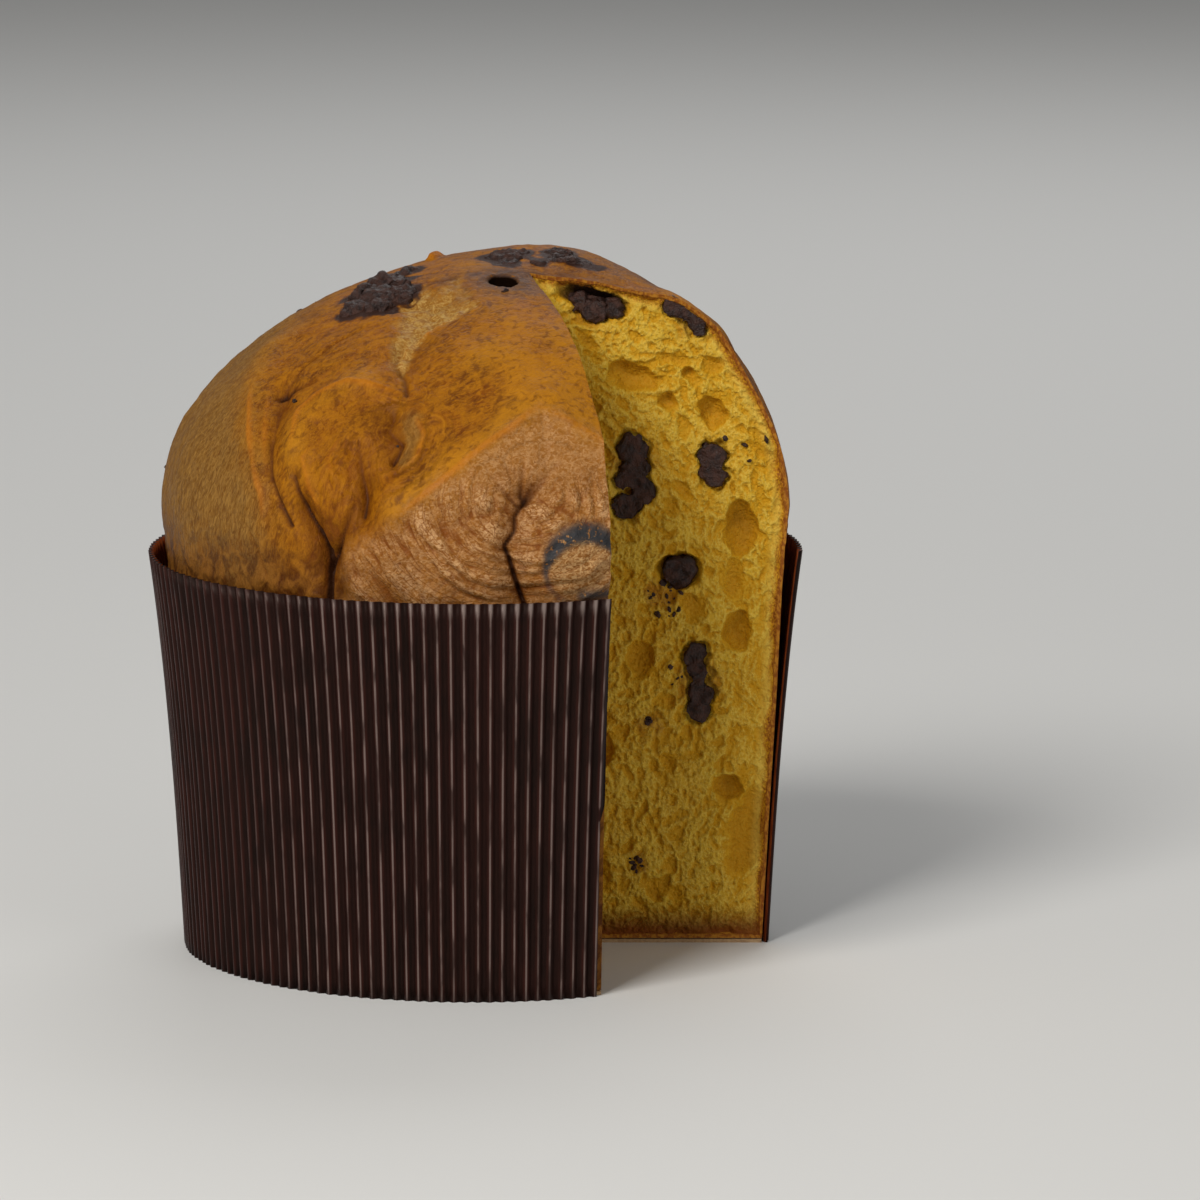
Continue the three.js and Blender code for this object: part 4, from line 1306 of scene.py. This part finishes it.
# Gives a piece the mesh that its modifiers make of it. Each modifier is (kind, settings).
def modified(piece, *modifiers):
    for kind, settings in modifiers:
        modifier = piece.modifiers.new(kind.title(), kind)
        for name, value in settings.items():
            setattr(modifier, name, value)
    graph = bpy.context.evaluated_depsgraph_get()
    shaped = bpy.data.meshes.new_from_object(piece.evaluated_get(graph))
    piece.modifiers.clear()
    piece.data = shaped
    return shaped


def read_points(vertices, field):
    values = np.empty(len(vertices) * 3)
    vertices.foreach_get(field, values)
    return values.reshape(-1, 3)


# A piece of chocolate over its solid, with lumps and a broken surface, level with the face it lies in.
def chocolate_piece(name, material, seed):
    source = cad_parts[name]
    mesh = source.data.copy()
    mesh.transform(source.matrix_world)
    made = bpy.data.objects.new(name + "_rough", mesh)
    bpy.context.scene.collection.objects.link(made)
    weld = ("WELD", {"merge_threshold": 0.01 * MM})
    remesh = ("REMESH", {"mode": "VOXEL", "voxel_size": 0.4 * MM})
    shaped = modified(made, weld, remesh, ("SMOOTH", {"iterations": 6}))
    points = read_points(shaped.vertices, "co") / MM
    normals = read_points(shaped.vertices, "normal")
    rough = 0.5 + 1.0 * lumps(points, 4.4, seed + 6) + 0.6 * lumps(points, 2.8, seed)
    rough -= 1.0 * np.abs(lumps(points, 1.9, seed + 1))
    rough += 0.45 * lumps(points, 1.1, seed + 2) + 0.2 * lumps(points, 0.6, seed + 5)
    points = points + rough[:, None] * normals
    for angle, word in ((REAR_FACE_ANGLE, "rear"), (FRONT_FACE_ANGLE, "front")):
        if word in name:
            out = towards_notch(angle)
            sunk = 0.2 + 0.7 * lumps(points, 2.2, seed + 3) + 0.5 * np.abs(lumps(points, 1.0, seed + 4))
            points = points - np.clip((points - CUT_TIP) @ out + sunk, 0, None)[:, None] * out
    shaped.vertices.foreach_set("co", (points * MM).reshape(-1))
    shaped.shade_smooth()
    shaped.materials.clear()
    shaped.materials.append(material)
    shaped.update()
    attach(made, "root")
    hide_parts(name)


def chocolate():
    material = chocolate_material()
    names = sorted(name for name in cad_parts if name.startswith("chocolate_"))
    for index, name in enumerate(names):
        chocolate_piece(name, material, 100 + 10 * index)


CHIP_INPUTS = {
    "Least Size": ("NodeSocketFloat", 0.4 * MM),
    "Greatest Size": ("NodeSocketFloat", 1.3 * MM),
    "Flatness": ("NodeSocketFloat", 0.55),
    "Seed": ("NodeSocketInt", 7),
}


# Small turned lumps on the given points.
def chip_tree(material):
    chip = Grower("scattered chips", CHIP_INPUTS)
    given = chip.given
    lump = chip.add("GeometryNodeMeshIcoSphere", {"Radius": 1.0, "Subdivisions": 1})
    sizes = {2: given["Least Size"], 3: given["Greatest Size"], "Seed": given["Seed"]}
    width = chip.add("FunctionNodeRandomValue", sizes, 1, data_type="FLOAT")
    flat = chip.times(width, given["Flatness"])
    shape = chip.add("ShaderNodeCombineXYZ", {0: width, 1: width, 2: flat})
    turns = {1: (2 * pi, 2 * pi, 2 * pi), "Seed": given["Seed"]}
    turn = chip.add("FunctionNodeRandomValue", turns, data_type="FLOAT_VECTOR")
    scatter = {"Points": given["Geometry"], "Instance": lump, "Rotation": turn, "Scale": shape}
    chip.close(chip.add("GeometryNodeInstanceOnPoints", scatter), material)
    return chip


# Spots of chips on the cut faces, as [along the face, height, radius, count].
REAR_CHIPS = [[37, 97, 6, 16], [33, 63, 1.5, 3], [29.5, 22, 2.4, 9]]
REAR_CHIPS += [[26, 121, 2, 3], [44, 76, 6, 9], [60, 140, 9, 5]]
FRONT_CHIPS = [[32, 107, 8, 14], [24, 118, 3, 4], [56, 30, 10, 12]]
FRONT_CHIPS += [[38, 16, 7, 8], [20, 60, 9, 6], [60, 96, 9, 6]]
# Single chips on the crust, as [azimuth in degrees, height].
CRUST_CHIPS = [[-96, 184.5], [-97, 184.2], [-186, 131], [-184, 131.6]]
CRUST_CHIPS += [[-135, 158.4], [-106, 151.2], [60, 150], [120, 140]]


def chips(crust_points, slabs):
    spots = []
    random = np.random.default_rng(31)
    for points, places, groups in zip(slabs[0::2], slabs[1::2], (REAR_CHIPS, FRONT_CHIPS)):
        for along, height, radius, count in groups:
            near = np.flatnonzero(np.hypot(places[:, 0] - along, places[:, 1] - height) < radius)
            spots += list(points[random.choice(near, count, replace=False)])
    for spot in dome_path(CRUST_CHIPS):
        spots.append(crust_points[np.linalg.norm(crust_points - spot, axis=-1).argmin()])
    seeds = bpy.data.meshes.new("chip spots")
    seeds.from_pydata((np.array(spots) * MM).tolist(), [], [])
    made = chip_tree(bpy.data.materials["dark chocolate"]).grow("chips", seeds)
    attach(made, "root")
    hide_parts("panettone")


# The camera of the photograph, in metres and degrees.
CAMERA_PLACE = (0.0343, -2.2, 0.4833)
CAMERA_PITCH = 10
SENSOR_WIDTH = 36
FOCAL_PIXELS = 8095
IMAGE_SIZE = 1200


def camera():
    data = bpy.data.cameras.new("camera")
    data.sensor_width = SENSOR_WIDTH
    data.lens = FOCAL_PIXELS * SENSOR_WIDTH / IMAGE_SIZE
    data.clip_end = 50
    made = bpy.data.objects.new("camera", data)
    made.location = CAMERA_PLACE
    made.rotation_euler = (radians(90 - CAMERA_PITCH), 0, 0)
    bpy.context.scene.collection.objects.link(made)
    bpy.context.scene.camera = made


def area_light(name, place, aim, size, power, colour):
    data = bpy.data.lights.new(name, "AREA")
    data.shape = "SQUARE"
    data.size = size
    data.energy = power
    data.color = colour
    made = bpy.data.objects.new(name, data)
    made.location = place
    made.rotation_euler = (Vector(aim) - Vector(place)).to_track_quat("-Z", "Y").to_euler()
    bpy.context.scene.collection.objects.link(made)


FLOOR_PALE = srgb(214, 214, 212)
FLOOR_REACH = 9


def studio():
    mesh = bpy.data.meshes.new("floor")
    corners = [(x * FLOOR_REACH, y * FLOOR_REACH, 0) for x, y in ((-1, -1), (1, -1), (1, 1), (-1, 1))]
    mesh.from_pydata(corners, [], [(0, 1, 2, 3)])
    floor = bpy.data.objects.new("floor", mesh)
    bpy.context.scene.collection.objects.link(floor)
    pale = Finish("pale floor")
    pale.colour = FLOOR_PALE
    mesh.materials.append(pale.done(0.9))
    area_light("key", (-0.95, -1.5, 1.5), (0, 0, 0.1), 0.9, 44, (1, 0.97, 0.93))
    area_light("fill", (1.5, -1.5, 0.6), (0, 0, 0.08), 1.2, 8, (1, 0.97, 0.93))
    area_light("back", (0.3, 1.6, 1.5), (0, 0, 0.1), 1.4, 12, (1, 1, 1))
    world = bpy.data.worlds.new("studio")
    bpy.context.scene.world = world
    world.use_nodes = True
    background = world.node_tree.nodes["Background"]
    background.inputs["Color"].default_value = (1, 1, 1, 1)
    background.inputs["Strength"].default_value = 0.2
    bpy.context.scene.view_settings.view_transform = "Standard"


crust_points, slabs = cake()
paper_case()
chocolate()
chips(crust_points, slabs)
studio()
camera()
